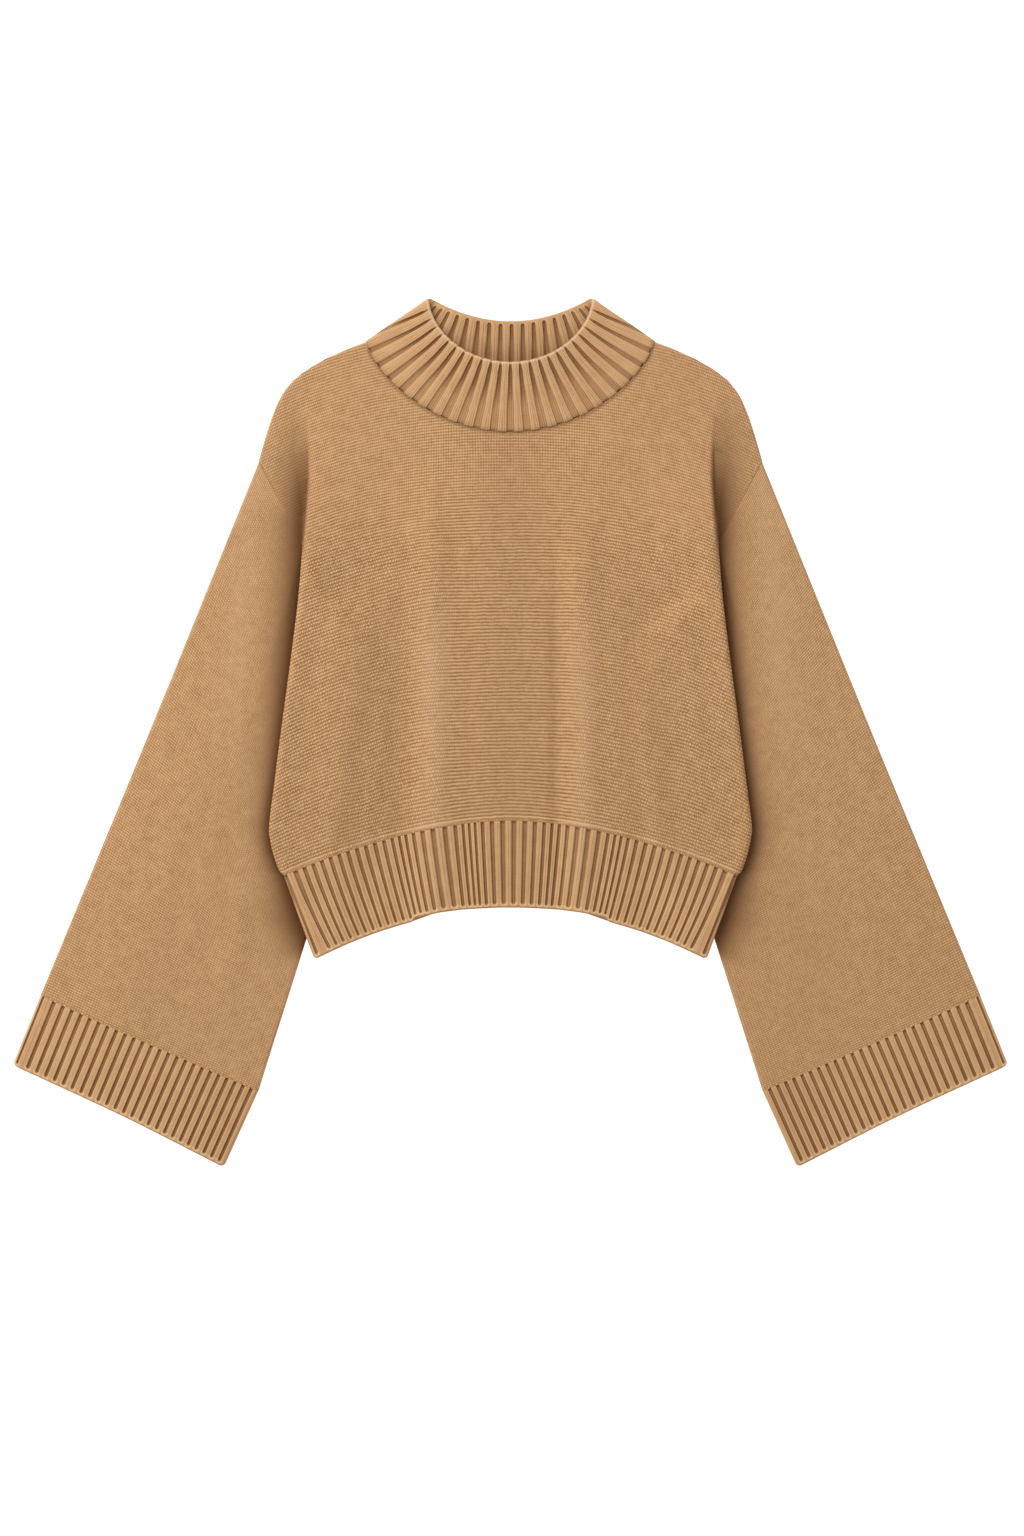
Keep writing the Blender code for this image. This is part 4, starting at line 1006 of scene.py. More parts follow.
def body_piece(name, neck_drop, step, inner_step, is_front, finish):
    """Front or back: two half grids that share the middle column up to the neckline.

    step is in courses.
    """
    neck_foot = course_number(course_at(np.array([0.0]), np.array([NECK_Y - neck_drop + OVERLAP]))[0])
    top = course_number(course_at(np.array([-NECK_HALF]), np.array([NECK_Y]))[0])
    foot = course_number(HEM_Y - OVERLAP)
    below = foot + step * np.arange(int((neck_foot - foot) / step) + 1)
    numbers = np.concatenate([below, np.arange(below[-1] + step, top - 0.25, step), [top - 0.1]])
    rows = np.interp(numbers, course_numbers, course_steps)
    split = len(below) - 1
    half = body_half(neck_drop, rows)
    x = np.stack([half, -half[:, ::-1]])
    v = np.broadcast_to(rows[:, None], x.shape)
    y = course_height(x, v)
    side_y = np.broadcast_to(y[0, :, :1][None], x.shape)
    from_side = -abs(x) - half[None, :, :1]

    # the fold rolls over at the body's sides and at the shoulders
    high = body_top(x, y)
    low = underside(x, y)
    folded = 1.0 - smoothstep(FOLD_END_Y - 7.0, FOLD_END_Y + 4.0, side_y)
    centre = 0.5 * (high + low)
    radius = np.maximum(0.5 * (high - low), 1.0)
    side_roll = np.sqrt(1.0 - (1.0 - np.clip(from_side / radius, 0, 1)) ** 2)
    from_top = distance_to_shoulder(x, y) - 0.03
    top_roll = np.sqrt(1.0 - (1.0 - np.clip(from_top / (0.5 * LOW_LEVEL), 0, 1)) ** 2)
    roll = (folded * side_roll + 1 - folded) * np.where(y > 235.0, top_roll, 1.0)
    outside = folded * high + (1 - folded) * creased_top(x, y) if is_front else tucked_underside(x, y)
    middle = folded * centre + (1 - folded) * 0.5 * LOW_LEVEL
    way = 1.0 if is_front else -1.0
    z = middle + (outside - middle) * roll + way * SEAM_GAP * (1 - roll)
    outer = np.stack([x, y, z], axis=-1)

    # the wall's inner face, on fewer rows
    kept = sorted(set(range(0, len(rows), inner_step)) | {split, len(rows) - 1})
    normals = np.cross(np.gradient(outer, axis=2), np.gradient(outer, axis=1))
    normals /= np.maximum(np.linalg.norm(normals, axis=-1, keepdims=True), 1e-9)
    wall = WALL * np.clip((half[:, -1] - half[:, 0]) / 16.0, 0.1, 1.0)[None, :, None, None]
    inner = (outer - way * wall * normals)[:, kept]

    # number the points; the right half shares the middle column below the neckline
    grids = []
    points = []
    count = 0
    for layer, last in ((outer, split), (inner, kept.index(split))):
        shape = layer.shape[1:3]
        left = count + np.arange(shape[0] * shape[1]).reshape(shape)
        fresh = np.ones(shape, dtype=bool)
        fresh[:last + 1, 0] = False
        right = np.zeros(shape, dtype=int)
        right[fresh] = left[-1, -1] + 1 + np.arange(fresh.sum())
        right[:last + 1, 0] = left[:last + 1, -1]
        points += [layer[0].reshape(-1, 3), layer[1][fresh]]
        count = right.max() + 1
        grids.append((left, right, fresh, last))

    (left_out, right_out, _, _), (left_in, right_in, _, split_in) = grids
    faces = grid_faces(left_out) + grid_faces(right_out)
    faces += flipped(grid_faces(left_in) + grid_faces(right_in))
    for step_in, (start, stop) in enumerate(zip(kept[:-1], kept[1:])):
        for fine, coarse, turned in ((left_out[:, 0], left_in[:, 0], False),
                                     (right_out[:, -1], right_in[:, -1], True),
                                     (left_out[:, -1], left_in[:, -1], True),
                                     (right_out[:, 0], right_in[:, 0], False)):
            is_middle = fine[0] in (left_out[0, -1], right_out[0, 0])
            if is_middle and step_in < split_in:
                continue
            strip = lace(fine[start:stop + 1].tolist(), coarse[step_in:step_in + 2].tolist())
            faces += flipped(strip) if turned else strip
    for end in (0, -1):
        for out_row, in_row in ((left_out[end], left_in[end]), (right_out[end], right_in[end])):
            rim = grid_faces(np.stack([in_row, out_row]))
            faces += rim if end == 0 else flipped(rim)

    def on_points(values, hidden=None):
        """Lay a value over the points; the inner face gets `hidden` where that is given."""
        inside = values[:, kept] if hidden is None else np.full(inner.shape[:3], float(hidden))
        parts = zip((values, inside), grids)
        laid = [np.concatenate([layer[0].ravel(), layer[1][grid[2]]]) for layer, grid in parts]
        return np.concatenate(laid)

    outward = abs(x)
    beads = 0.20 + 0.60 * smoothstep(30.0, 100.0, outward)
    beads = np.maximum(beads, 0.85 * smoothstep(185.0, 240.0, y))
    on_ridge = np.exp(-((outward - 66.0) / 9.0) ** 2) * smoothstep(190.0, 100.0, y)
    beads = np.maximum(beads, 0.75 * on_ridge)
    bricks = smoothstep(30.0, 105.0, outward) * (1 - smoothstep(150.0, 225.0, y))
    bricks = np.maximum(bricks, on_ridge)
    # painted light and shade of the front and back: the form's tones, painted light on a band just above the
    # hem seam, and painted shade at the hem seam, along the neckline, beside the shoulder crease and at the
    # armhole
    shade = painted_form_tone(x, y)
    above_hem = v - HEM_Y
    shade = shade - 0.22 * smoothstep(1.0, 1.8, above_hem) * (1 - smoothstep(3.6, 5.0, above_hem))
    shade = deepened(shade, 0.34 * (1 - smoothstep(0.2, 1.0, above_hem)))
    neck_line = bowl(NECK_HALF, NECK_Y, neck_drop, NECK_POWER)(np.linspace(0, 1, 200))
    near_neck = np.interp(x, neck_line[:, 0], neck_line[:, 1])
    beside_neck = np.where(outward < NECK_HALF - 1, near_neck - y, 99.0)
    slope = np.gradient(neck_line[:, 1], neck_line[:, 0])
    beside_neck = beside_neck / np.sqrt(1 + np.interp(x, neck_line[:, 0], slope) ** 2)
    shade = deepened(shade, 0.56 * np.exp(-(np.maximum(beside_neck, 0) / 1.9) ** 1.5))
    beyond = -inside_crease(x, y)
    in_crease = np.exp(-0.8 * (np.maximum(beyond - 3.0, 0) / 18.0) ** 1.6) * smoothstep(-5.0, 2.0, beyond)
    crease_depth = 0.92 * in_crease * (1 - smoothstep(205.0, 318.0, y)) * smoothstep(150.0, 172.0, y)
    shade = deepened(shade, crease_depth)
    relief = 0.12 + 0.88 * smoothstep(2.0, 7.5, from_side)
    relief = relief * (1 - 0.7 * np.clip(-painted_form_tone(x, y) / 0.13, 0, 1))
    at_armhole = (1 - smoothstep(0.3, 1.8, from_side)) * (1 - folded) * (1 - smoothstep(236.0, 246.0, side_y))
    shade = deepened(shade, 0.35 * at_armhole)
    piece = make_piece(
        name, np.concatenate(points), faces,
        course=on_points(course_number(v)), wale=on_points(wale_number(x, y)), brick=on_points(bricks),
        face=on_points(is_front * relief, 0.0), bead=on_points(beads), hollow=on_points(shade, 0.0))
    return run_tree(piece, courses_tree, finish, Course_relief=0.15 * MM)


front = body_piece("front_knit", NECK_DROP_FRONT, 0.25, 8, True, plain)
back = body_piece("back_knit", NECK_DROP_BACK, 0.5, 4, False, plain)

# %% [markdown]
# ## Tubes
#
# Sleeves, cuffs, hem band and collar are flattened tubes. Each is a stack of
# rings: an upper layer, a lower layer, and a rolled fold at each side where
# they meet. The face that shows has many columns, the hidden ones only a few.


# %% Rings of a flattened tube
FOLD_ANGLES = np.radians([0.0, 14.0, 30.0, 46.0, 62.0, 76.0, 90.0])
FINE_FOLD_ANGLES = np.radians(np.linspace(0.0, 90.0, 15))


def into_row(outline, up):
    """Unit steps along one row into the piece, from its left and right end."""
    pair = []
    for end, near in ((0.0, 0.01), (1.0, 0.99)):
        run = outline(np.array(near), np.array(up)) - outline(np.array(end), np.array(up))
        pair.append(run / np.linalg.norm(run))
    return pair


def tube_rings(upper, lower, heights, rows, middle_up, middle_low, wall, ribs_up, ribs_low, fold=FOLD_ANGLES):
    """Outer and inner points of every ring, and the columns' shares across each layer.

    rows: (share up the tube, corner inset, drop of the bound edge).
    middle_up, middle_low: shares of the columns between the two folds, or a
    function of up that gives them.
    ribs_up, ribs_low: height of the ribs on the upper layer's outer face and
    on the lower layer's inner face.
    """
    outer = []
    inner = []
    shares = ([], [])
    for up, inset, drop in rows:
        ends = upper(np.array([0.0, 1.0]), np.array([up, up]))
        width = np.linalg.norm(ends[1] - ends[0])
        spot = upper(np.array(PAST_FOLD / width), np.array(up))
        high, low = heights(spot[0], spot[1], PAST_FOLD / width, up)
        edge = (inset + 0.5 * (high - low) * (1 - np.cos(fold))) / width
        ring_out = []
        ring_in = []
        for is_upper, outline, middle in ((True, upper, middle_up), (False, lower, middle_low)):
            middle = middle(up) if callable(middle) else middle
            across = np.concatenate([edge, edge[-1] + (1 - 2 * edge[-1]) * middle, (1 - edge)[::-1]])
            shares[not is_upper].append((across - edge[-1]) / (1 - 2 * edge[-1]))
            lift = np.concatenate([np.sin(fold), np.ones(len(middle)), np.sin(fold)[::-1]])
            spots = outline(across, np.full_like(across, up))
            high, low = heights(spots[:, 0], spots[:, 1], across, up)
            centre = 0.5 * (high + low)
            step = np.where((across < 0.5)[:, None], *into_row(outline, up))
            under = spots + wall * step * np.sqrt(1 - lift ** 2)[:, None]
            if is_upper:
                base = centre + (high - centre) * lift
                ring_out.append(np.column_stack([spots, base + (ribs_up - drop) * lift]))
                ring_in.append(np.column_stack([under, base + (0.7 * drop - wall) * lift]))
            else:
                base = centre - (centre - low) * lift
                fade = smoothstep(1.0, 0.55, abs(2 * across - 1))
                top = base + (wall + (ribs_low - drop * (ribs_low > 0)) * fade) * lift
                ring_out.append(np.column_stack([spots, base])[1:-1][::-1])
                ring_in.append(np.column_stack([under, top])[1:-1][::-1])
        outer.append(np.concatenate(ring_out))
        inner.append(np.concatenate(ring_in))
    return np.array(outer), np.array(inner), np.array(shares[0]), np.array(shares[1])


def thinned(count, folds, step):
    """Numbers of the columns that a coarse face keeps: all round the folds, then every few."""
    middle = list(range(folds, count - folds, step))
    return list(range(folds)) + middle + list(range(count - folds, count))


def tube_piece(name, outer, inner, out_columns, in_columns, in_rows, finish, values, mirror=False):
    """Build the closed wall between some columns of the outer and the inner rings."""
    columns = outer.shape[1]
    layers = (outer[:, out_columns], inner[in_rows][:, in_columns])
    index = [np.arange(layers[0].shape[0] * len(out_columns)).reshape(-1, len(out_columns))]
    index.append(index[0].size + np.arange(len(in_rows) * len(in_columns)).reshape(-1, len(in_columns)))
    closed = [np.concatenate([part, part[:, :1]], axis=1) for part in index]
    faces = grid_faces(closed[0]) + flipped(grid_faces(closed[1]))
    shared = sorted(set(out_columns) & set(in_columns))
    places = [np.array(list(part) + [columns]) for part in (out_columns, in_columns)]
    for start, stop in zip(shared, shared[1:] + [columns]):
        spans = [slice(np.searchsorted(place, start), np.searchsorted(place, stop) + 1) for place in places]
        for end in (0, -1):
            strip = lace(closed[0][end, spans[0]].tolist(), closed[1][end, spans[1]].tolist())
            faces += flipped(strip) if end == 0 else strip
    points = np.concatenate([layer.reshape(-1, 3) for layer in layers])
    if mirror:
        points = points * np.array([-1.0, 1.0, 1.0])
    laid = {}
    for label, (outside, inside) in values.items():
        laid[label] = np.concatenate([
            outside[:, out_columns].ravel(), inside[in_rows][:, in_columns].ravel()])
    return make_piece(name, points, faces, **laid)


# %% [markdown]
# ## Sleeves
#
# A sleeve lies flat and is slightly puffed between its outer fold and the body
# that rests on it. Its courses run across it. Close beside the body the sleeve
# lies in deep shade, which is painted into its yarn as dark brown.

# %% Sleeves
BODY_SIDE_X, BODY_SIDE_Y = np.array(
    sorted(BODY_EDGE + ((-204.0, -130.0), (-176.4, -206.1), (-187.4, 175.0)), key=lambda spot: spot[1])).T
# columns: height, how far the body's painted shade reaches over the left and over the right sleeve
SHADE_REACH = (
    (-215.0, 18.0, 18.0), (-170.0, 23.0, 23.0), (-140.0, 15.0, 16.0),
    (-118.0, 11.0, 13.0), (-63.0, 11.0, 11.0), (9.0, 12.5, 9.5),
    (82.0, 16.5, 12.0), (153.0, 18.5, 14.0), (200.0, 18.5, 14.0),
)
SHADE_DEPTH = (0.95, 0.90)
SLEEVE_ROWS = 3                          # rows of points to each course
# painted highlight in a streak beside the body's painted shade
PAINTED_HIGHLIGHT_STREAK = (45.0, 18.0, 0.06)       # distance from the body, half width, how much lighter


def sleeve_puff(across):
    """Air inside a sleeve, from its outer fold to where the body rests on it."""
    return SLEEVE_PUFF * np.sin(np.clip(across / PUFF_SHARE, 0, 1) * math.pi) ** 2


def sleeve_heights(x, y, across, up):
    """Upper and lower face of a sleeve."""
    puff = sleeve_puff(across) * smoothstep(0.0, 0.25, up)
    small = soft_folds(x, y, SLEEVE_FOLDS) * smoothstep(0.0, 0.12, across) * (1 - smoothstep(0.9, 1.0, up))
    return LOW_LEVEL + puff + small, np.zeros(np.shape(x))


def sleeve_outline():
    """Outline patch of the left sleeve, from the armhole to the cuff seam."""
    def lapped(line):
        return [(x + 0.5, y + 0.26) for x, y in line]

    rims = zip(SLEEVE_RIM_SHARES, (ARMHOLE[::-1], ARMHOLE_LOW, UNDERARM))
    rim = joined(*[(share, through(lapped(line))) for share, line in rims])
    outer = through(lapped(SLEEVE_OUTER[:1]) + list(SLEEVE_OUTER[1:]))
    inner = through(lapped(SLEEVE_INNER[:1]) + list(SLEEVE_INNER[1:]))
    return patch(rim, through(CUFF_SEAM), outer, inner)


def body_shade(x, y, mirror):
    """How much painted shade from the body a place on a sleeve gets; below 0 it gets painted light."""
    beside = np.interp(y, BODY_SIDE_Y, BODY_SIDE_X) - x
    heights, *reaches = np.array(SHADE_REACH).T
    reach = np.interp(y, heights, reaches[mirror])
    along = smoothstep(-222.0, -196.0, y) * (1.0 - smoothstep(190.0, 215.0, y))
    deep = SHADE_DEPTH[mirror] * along * np.exp(-0.8 * (np.maximum(beside, 0) / reach) ** 1.6)
    place, half, light = PAINTED_HIGHLIGHT_STREAK
    streak = light * np.exp(-((beside - place) / half) ** 2) * smoothstep(-80.0, 110.0, y)
    # painted shade that grows towards the cuff
    low = 0.05 * smoothstep(0.0, -250.0, y)
    return deep - streak + low


def make_sleeve(name, mirror):
    outline = sleeve_outline()
    count = int(SLEEVE_LENGTH / SLEEVE_COURSE * SLEEVE_ROWS)
    shares = np.linspace(0.0, 1.0, count + 1)
    rows = [(share, 0.0, 0.0) for share in shares]
    middle_up = np.linspace(0, 1, 84)[1:-1]
    middle_low = np.linspace(0, 1, 8)[1:-1]
    outer, inner, _, _ = tube_rings(
        outline, outline, sleeve_heights, rows, middle_up, middle_low, WALL, 0.0, 0.0)
    for layer in (outer, inner):
        last = layer[-1, :, :2] - layer[-2, :, :2]
        layer[-1, :, :2] += OVERLAP * last / np.linalg.norm(last, axis=-1, keepdims=True)
    folds = len(FOLD_ANGLES)
    upper_count = len(middle_up) + 2 * folds
    columns = outer.shape[1]
    in_columns = thinned(upper_count, 7, 8) + list(range(upper_count, columns))
    in_rows = sorted(set(range(0, len(rows), 12)) | {len(rows) - 1})
    is_upper = np.arange(columns) < upper_count
    ups = np.broadcast_to(shares[:, None], outer.shape[:2])
    smooth_fold = np.interp(np.arange(upper_count), (folds - 1, folds + 2, upper_count - folds - 3,
                                                     upper_count - folds), (0.1, 1.0, 1.0, 0.1))
    face = np.broadcast_to(np.concatenate([smooth_fold, np.zeros(columns - upper_count)]), outer.shape[:2])
    steps = np.linalg.norm(np.diff(outer[:, :upper_count, :2], axis=1), axis=-1)
    across = np.concatenate([np.zeros((len(rows), 1)), np.cumsum(steps, axis=1)], axis=1)
    across = (across - across[:, upper_count // 2:upper_count // 2 + 1]) / SLEEVE_WALE
    wale = np.concatenate([across, np.zeros((len(rows), columns - upper_count))], axis=1)
    none = np.zeros(outer.shape[:2])
    shade = body_shade(outer[..., 0], outer[..., 1], mirror) * is_upper
    # painted shade along the armhole seam
    shade = deepened(shade, 0.3 * (1 - smoothstep(0.5, 2.0, ups * SLEEVE_LENGTH)) * is_upper)
    values = {
        "course": (ups * SLEEVE_LENGTH / SLEEVE_COURSE, none), "wale": (wale, none), "brick": (none, none),
        "face": (face, none), "bead": (none + 0.85, none), "hollow": (shade, none)}
    piece = tube_piece(name, outer, inner, list(range(columns)), in_columns, in_rows, plain, values, mirror)
    return run_tree(piece, courses_tree, plain, Course_relief=0.12 * MM)


sleeve_left = make_sleeve("sleeve_left_knit", False)
sleeve_right = make_sleeve("sleeve_right_knit", True)

# %% [markdown]
# ## Ribbed bands
#
# The hem band, the cuffs and the collar are knitted in wide ribs. The function
# measures, along the cloth, how far each point is from its nearest groove, and
# the tree does the rest. Where the cloth is spread, a groove opens, shows its
# pale net of purl stitches and gets less painted shade; where it is crowded it
# is a slit with dark painted shade.

# %% Ribbed bands
EDGE_RADIUS = 0.5 * (RIB_WALL + RIB_HEIGHT)
SEAM_DIP = 1.0                           # the ribs come down to the plain knit at the seam
FINE_LENGTH = 9.5                        # the rows lie close together over this length at the edge


def grooves(count):
    """Shares of evenly spaced grooves."""
    return (np.arange(count) + 0.5) / count


def band_rows(length, spacing, corner):
    """Rows of a band: even, then close together at the slot ends and round the bound edge."""
    even_part = np.linspace(SEAM_GAP, length - FINE_LENGTH, int((length - FINE_LENGTH) / spacing) + 1)
    seam_part = SEAM_GAP + np.array([0.5, 1.0, 1.5])
    close_part = np.arange(length - FINE_LENGTH + 0.5, length - EDGE_RADIUS, 0.55)
    edge_part = length - EDGE_RADIUS * (1 - np.sin(np.radians([5, 25, 45, 65, 80, 90])))
    rows = []
    for place in np.sort(np.concatenate([even_part, seam_part, close_part, edge_part])):
        left = length - place
        bend = max(corner - left, 0.0)
        inset = corner - math.sqrt(corner ** 2 - bend ** 2)
        over = max(EDGE_RADIUS - left, 0.0)
        down = EDGE_RADIUS - math.sqrt(EDGE_RADIUS ** 2 - over ** 2)
        rows.append((place / length, inset, down + SEAM_DIP * max(1.0 - place / 3.0, 0.0) ** 2))
    return rows


SLOT_LABELS = ("slot_across", "slot_past", "slot_half", "slot_depth", "slot_tone")


def slot_values(points, shares, ups, length, ribs):
    """Slot attributes of every point of one layer, lengths in metres."""
    values = {label: np.zeros(points.shape[:2]) for label in SLOT_LABELS}
    for row, (line, share, up) in enumerate(zip(points, shares, ups)):
        lengths = np.concatenate([[0.0], np.cumsum(np.linalg.norm(np.diff(line[:, :2], axis=0), axis=1))])
        centres = ribs["centres"](up)
        middle = np.interp(centres, share, lengths)
        stretch = (lengths[-1] - lengths[0]) / (share[-1] - share[0])
        middle += stretch * (centres - np.clip(centres, share[0], share[-1]))
        pitch = np.gradient(middle)
        nearest = np.searchsorted(0.5 * (middle[1:] + middle[:-1]), lengths)
        width, depth, tone = ribs["style"](up, centres, pitch)
        half = 0.5 * width * pitch
        values["slot_across"][row] = (lengths - middle[nearest]) * MM
        values["slot_half"][row] = half[nearest] * MM
        values["slot_past"][row] = (up * length - length + ribs["end"] + half[nearest]) * MM
        values["slot_depth"][row] = depth[nearest]
        values["slot_tone"][row] = tone[nearest]
    return values


def band_piece(name, upper, lower, heights, length, spacing, middle_up, ribs, shade,
               back=None, mirror=False, corner=CORNER_ROUND, **sizes):
    """A ribbed tube; `back` describes the ribs on the inside of its lower layer."""
    rows = band_rows(length, spacing, corner)
    ups = np.array([row[0] for row in rows])
    middle_low = np.linspace(0, 1, 14)[1:-1] if back is None else back["columns"]
    outer, inner, shares_up, shares_low = tube_rings(
        upper, lower, heights, rows, middle_up, middle_low, RIB_WALL, RIB_HEIGHT,
        RIB_HEIGHT if back else 0.0, FINE_FOLD_ANGLES)
    folds = len(FINE_FOLD_ANGLES)
    upper_count = shares_up.shape[1]
    columns = outer.shape[1]
    below = list(range(upper_count, columns))
    in_columns = thinned(upper_count, folds, 16) + below
    out_columns = list(range(columns))
    if back is not None:
        out_columns = list(range(upper_count)) + [
            upper_count + spot for spot in thinned(len(below), folds - 1, 16)]
    few = sorted(set(range(0, len(rows), 8)) | set(range(len(rows) - 5, len(rows))))
    in_rows = few if back is None else list(range(len(rows)))

    shape = outer.shape[:2]
    none = np.zeros(shape)
    is_upper = np.broadcast_to((np.arange(columns) < upper_count).astype(float), shape)
    outside = {label: none.copy() for label in SLOT_LABELS}
    inside = {label: none.copy() for label in SLOT_LABELS}
    for group in (outside, inside):
        group["slot_across"] += 0.02
    for label, part in slot_values(outer[:, :upper_count], shares_up, ups, length, ribs).items():
        outside[label][:, :upper_count] = part
    if back is not None:
        low = inner[:, upper_count:][:, ::-1]
        for label, part in slot_values(low, shares_low[:, 1:-1], ups, length, back).items():
            inside[label][:, upper_count:] = part[:, ::-1]
        fade = smoothstep(1.0, 0.55, abs(2 * np.clip(shares_low[:, 1:-1], 0, 1) - 1))
        inside["slot_depth"][:, upper_count:] *= fade[:, ::-1]
    values = {label: (outside[label], inside[label]) for label in SLOT_LABELS}
    place = np.broadcast_to(ups[:, None] * length, shape)
    values["course"] = (place / RIB_COURSE,) * 2
    values["face"] = (is_upper, none if back is None else 1.0 - is_upper)
    values["hollow"] = (shade(outer, place) * is_upper, none if back is None else back["shade"](inner, place))
    piece = tube_piece(name, outer, inner, out_columns, in_columns, in_rows, rib, values, mirror)
    return run_tree(piece, ribs_tree, rib, **sizes)


def seam_shade(points, place):
    """Painted shade in the crease of the seam."""
    return 0.30 * (1 - smoothstep(0.3, 1.0, place))


def edge_tone(length, place):
    """The bound edge rolls over, and painted shade darkens it as it does."""
    left = length - place
    return 0.30 * smoothstep(2.0, 0.4, left)


# %% [markdown]
# ### Cuffs

# %% Cuffs
def cuff_heights(x, y, across, up):
    """A cuff continues the sleeve, its grooves level with the plain knit."""
    puff = sleeve_puff(across) * (1 - 0.6 * up)
    return WALL + RIB_WALL + EDGE_GAP + puff, np.zeros(np.shape(x))


def cuff_style(up, centres, pitch):
    """Even grooves, a little narrower towards the bound edge, with deeper painted shade there."""
    near_edge = smoothstep(0.2, 0.9, up)
    tone = max(0.75 + 0.25 * near_edge, 1.1 * (1 - smoothstep(0.03, 0.075, up)))
    same = np.ones(len(centres))
    same[0] = 0.4                        # the groove along the outer fold is a thin line
    return (0.30 - 0.04 * near_edge) * same, np.ones(len(centres)), tone * np.ones(len(centres))


cuff_outline = patch(through(CUFF_SEAM), through(CUFF_EDGE), through(CUFF_OUTER), through(CUFF_INNER))
cuff_centres = np.concatenate([[0.001], np.polyval(CUFF_CURVE[::-1], grooves(CUFF_RIBS))])
cuff_ribs = {"centres": lambda up: cuff_centres, "style": cuff_style, "end": 3.2}
cuff_columns = np.linspace(0, 1, 20 * CUFF_RIBS)[1:-1]


def cuff_shade(points, place):
    """Painted shade at the seam and at the rolled edge, and a little more painted shade towards the inner
    fold.
    """
    inward = smoothstep(-330.0, -240.0, points[..., 0])
    return seam_shade(points, place) + edge_tone(CUFF_HEIGHT, place) + 0.10 * inward


cuff_left, cuff_right = (
    band_piece(name, cuff_outline, cuff_outline, cuff_heights, CUFF_HEIGHT, 2.0, cuff_columns,
               cuff_ribs, cuff_shade, mirror=mirror, Softness=0.95 * MM)
    for name, mirror in (("cuff_left_rib", False), ("cuff_right_rib", True)))

# %% [markdown]
# ### Hem band
#
# The band has fifty-two grooves, two of them on its rolled sides. They crowd in
# the troughs beside the two long ridges, and they spread on the ridges and in
# the middle.

# %% Hem band
# columns: share of the width, reach, change in the number of grooves
HEM_CROWDS = (
    (0.255, 0.022, 20.6), (0.338, 0.030, -14.0), (0.409, 0.022, 31.2), (0.500, 0.050, -9.6),
    (0.600, 0.018, 18.3), (0.668, 0.030, -11.5), (0.742, 0.022, 23.5),
)
HEM_PITCH = 8.0                          # usual distance between two grooves
HEM_MARGIN = 0.0194
HEM_INSET = 0.0075
OUTER_GROOVE = 0.010                     # how far round the side the outermost grooves start


def hem_number():
    """How many grooves lie to the left of even shares of the width, and those shares."""
    spots = np.linspace(0.0, 1.0, 2001)
    density = np.full(2001, HEM_DENSITY)
    for share, reach, change in HEM_CROWDS:
        density += change * np.exp(-((spots - share) / reach) ** 2)
    total = np.concatenate([[0.0], np.cumsum(0.5 * (density[1:] + density[:-1]))])
    return HEM_RIBS * total / total[-1], spots


hem_total, hem_spots = hem_number()


def hem_shares(numbers, up):
    """Shares across the band of groove numbers; the rolled sides widen towards the bound edge."""
    share = np.interp(numbers, hem_total, hem_spots)
    margin = HEM_INSET + HEM_MARGIN * up ** 2
    return margin + (1 - 2 * margin) * share


def hem_centres(up):
    """Shares of the grooves across the band; the outermost two lie along its rolled sides."""
    outermost = -OUTER_GROOVE * (1 - up) ** 1.3
    return np.concatenate([[outermost], hem_shares(np.arange(HEM_RIBS) + 0.5, up), [1 - outermost]])


def hem_columns(up):
    """Columns that follow the ribs, and a few beside each rolled side."""
    along = hem_shares(np.linspace(0, HEM_RIBS, 18 * HEM_RIBS), up)
    beside = np.linspace(0, along[0], 16)[1:-1]
    return np.concatenate([beside, along, 1 - beside[::-1]])


def hem_style(up, centres, pitch):
    """A groove is open where the ribs are spread; at the sides it closes towards the bound edge."""
    spread = np.clip((pitch / HEM_PITCH - 0.62) / 0.55, 0, 1)
    at_side = smoothstep(0.42, 0.60, abs(2 * centres - 1))
    spread = spread * (1 - 0.8 * at_side * smoothstep(0.15, 0.75, up))
    at_seam = 1 - smoothstep(0.03, 0.075, up)
    width = 0.245 + 0.15 * spread - 0.07 * at_side * smoothstep(0.15, 0.75, up)
    return width, 0.85 + 0.15 * (1 - spread), np.maximum(0.88 - 0.12 * spread, at_seam)


def hem_heights(x, y, across, up):
    """The hem band continues the front and the back."""
    return body_top(x, y) - WALL + RIB_WALL, underside(x, y)


hem_side = through(((-HEM_HALF, HEM_Y - HEM_DROP), (-EDGE_HALF, EDGE_Y - EDGE_DROP)))
hem_outline = patch(arch(HEM_HALF, HEM_Y, HEM_DROP, HEM_POWER), hem_edge(), hem_side, mirrored(hem_side))
hem_ribs = {"centres": hem_centres, "style": hem_style, "end": 3.3}


def hem_shade(points, place):
    """The body's painted light and shade run on over the band; it has painted shade at the seam and at the
    rolled edge.
    """
    tone = -0.45 * soft_folds(points[..., 0], points[..., 1], PAINTED_TONES)
    return tone + seam_shade(points, place) + edge_tone(HEM_HEIGHT, place) + 0.02


hem = band_piece(
    "hem_band_rib", hem_outline, hem_outline, hem_heights, HEM_HEIGHT, 2.0,
    hem_columns, hem_ribs, hem_shade, Softness=0.90 * MM)

# %% [markdown]
# ### Collar
#
# The collar stands up round the neck and lies folded flat. Its ribs fan out
# from the top edge to the seam. Inside, behind the front, the back of the
# collar shows its own ribs, which run nearly straight down.

# %% Collar
FAN_PITCH = 0.0481                       # share of the band from rib to rib at the seam
FAN_CHANGE = 0.0049                      # and how much less it is at the top edge


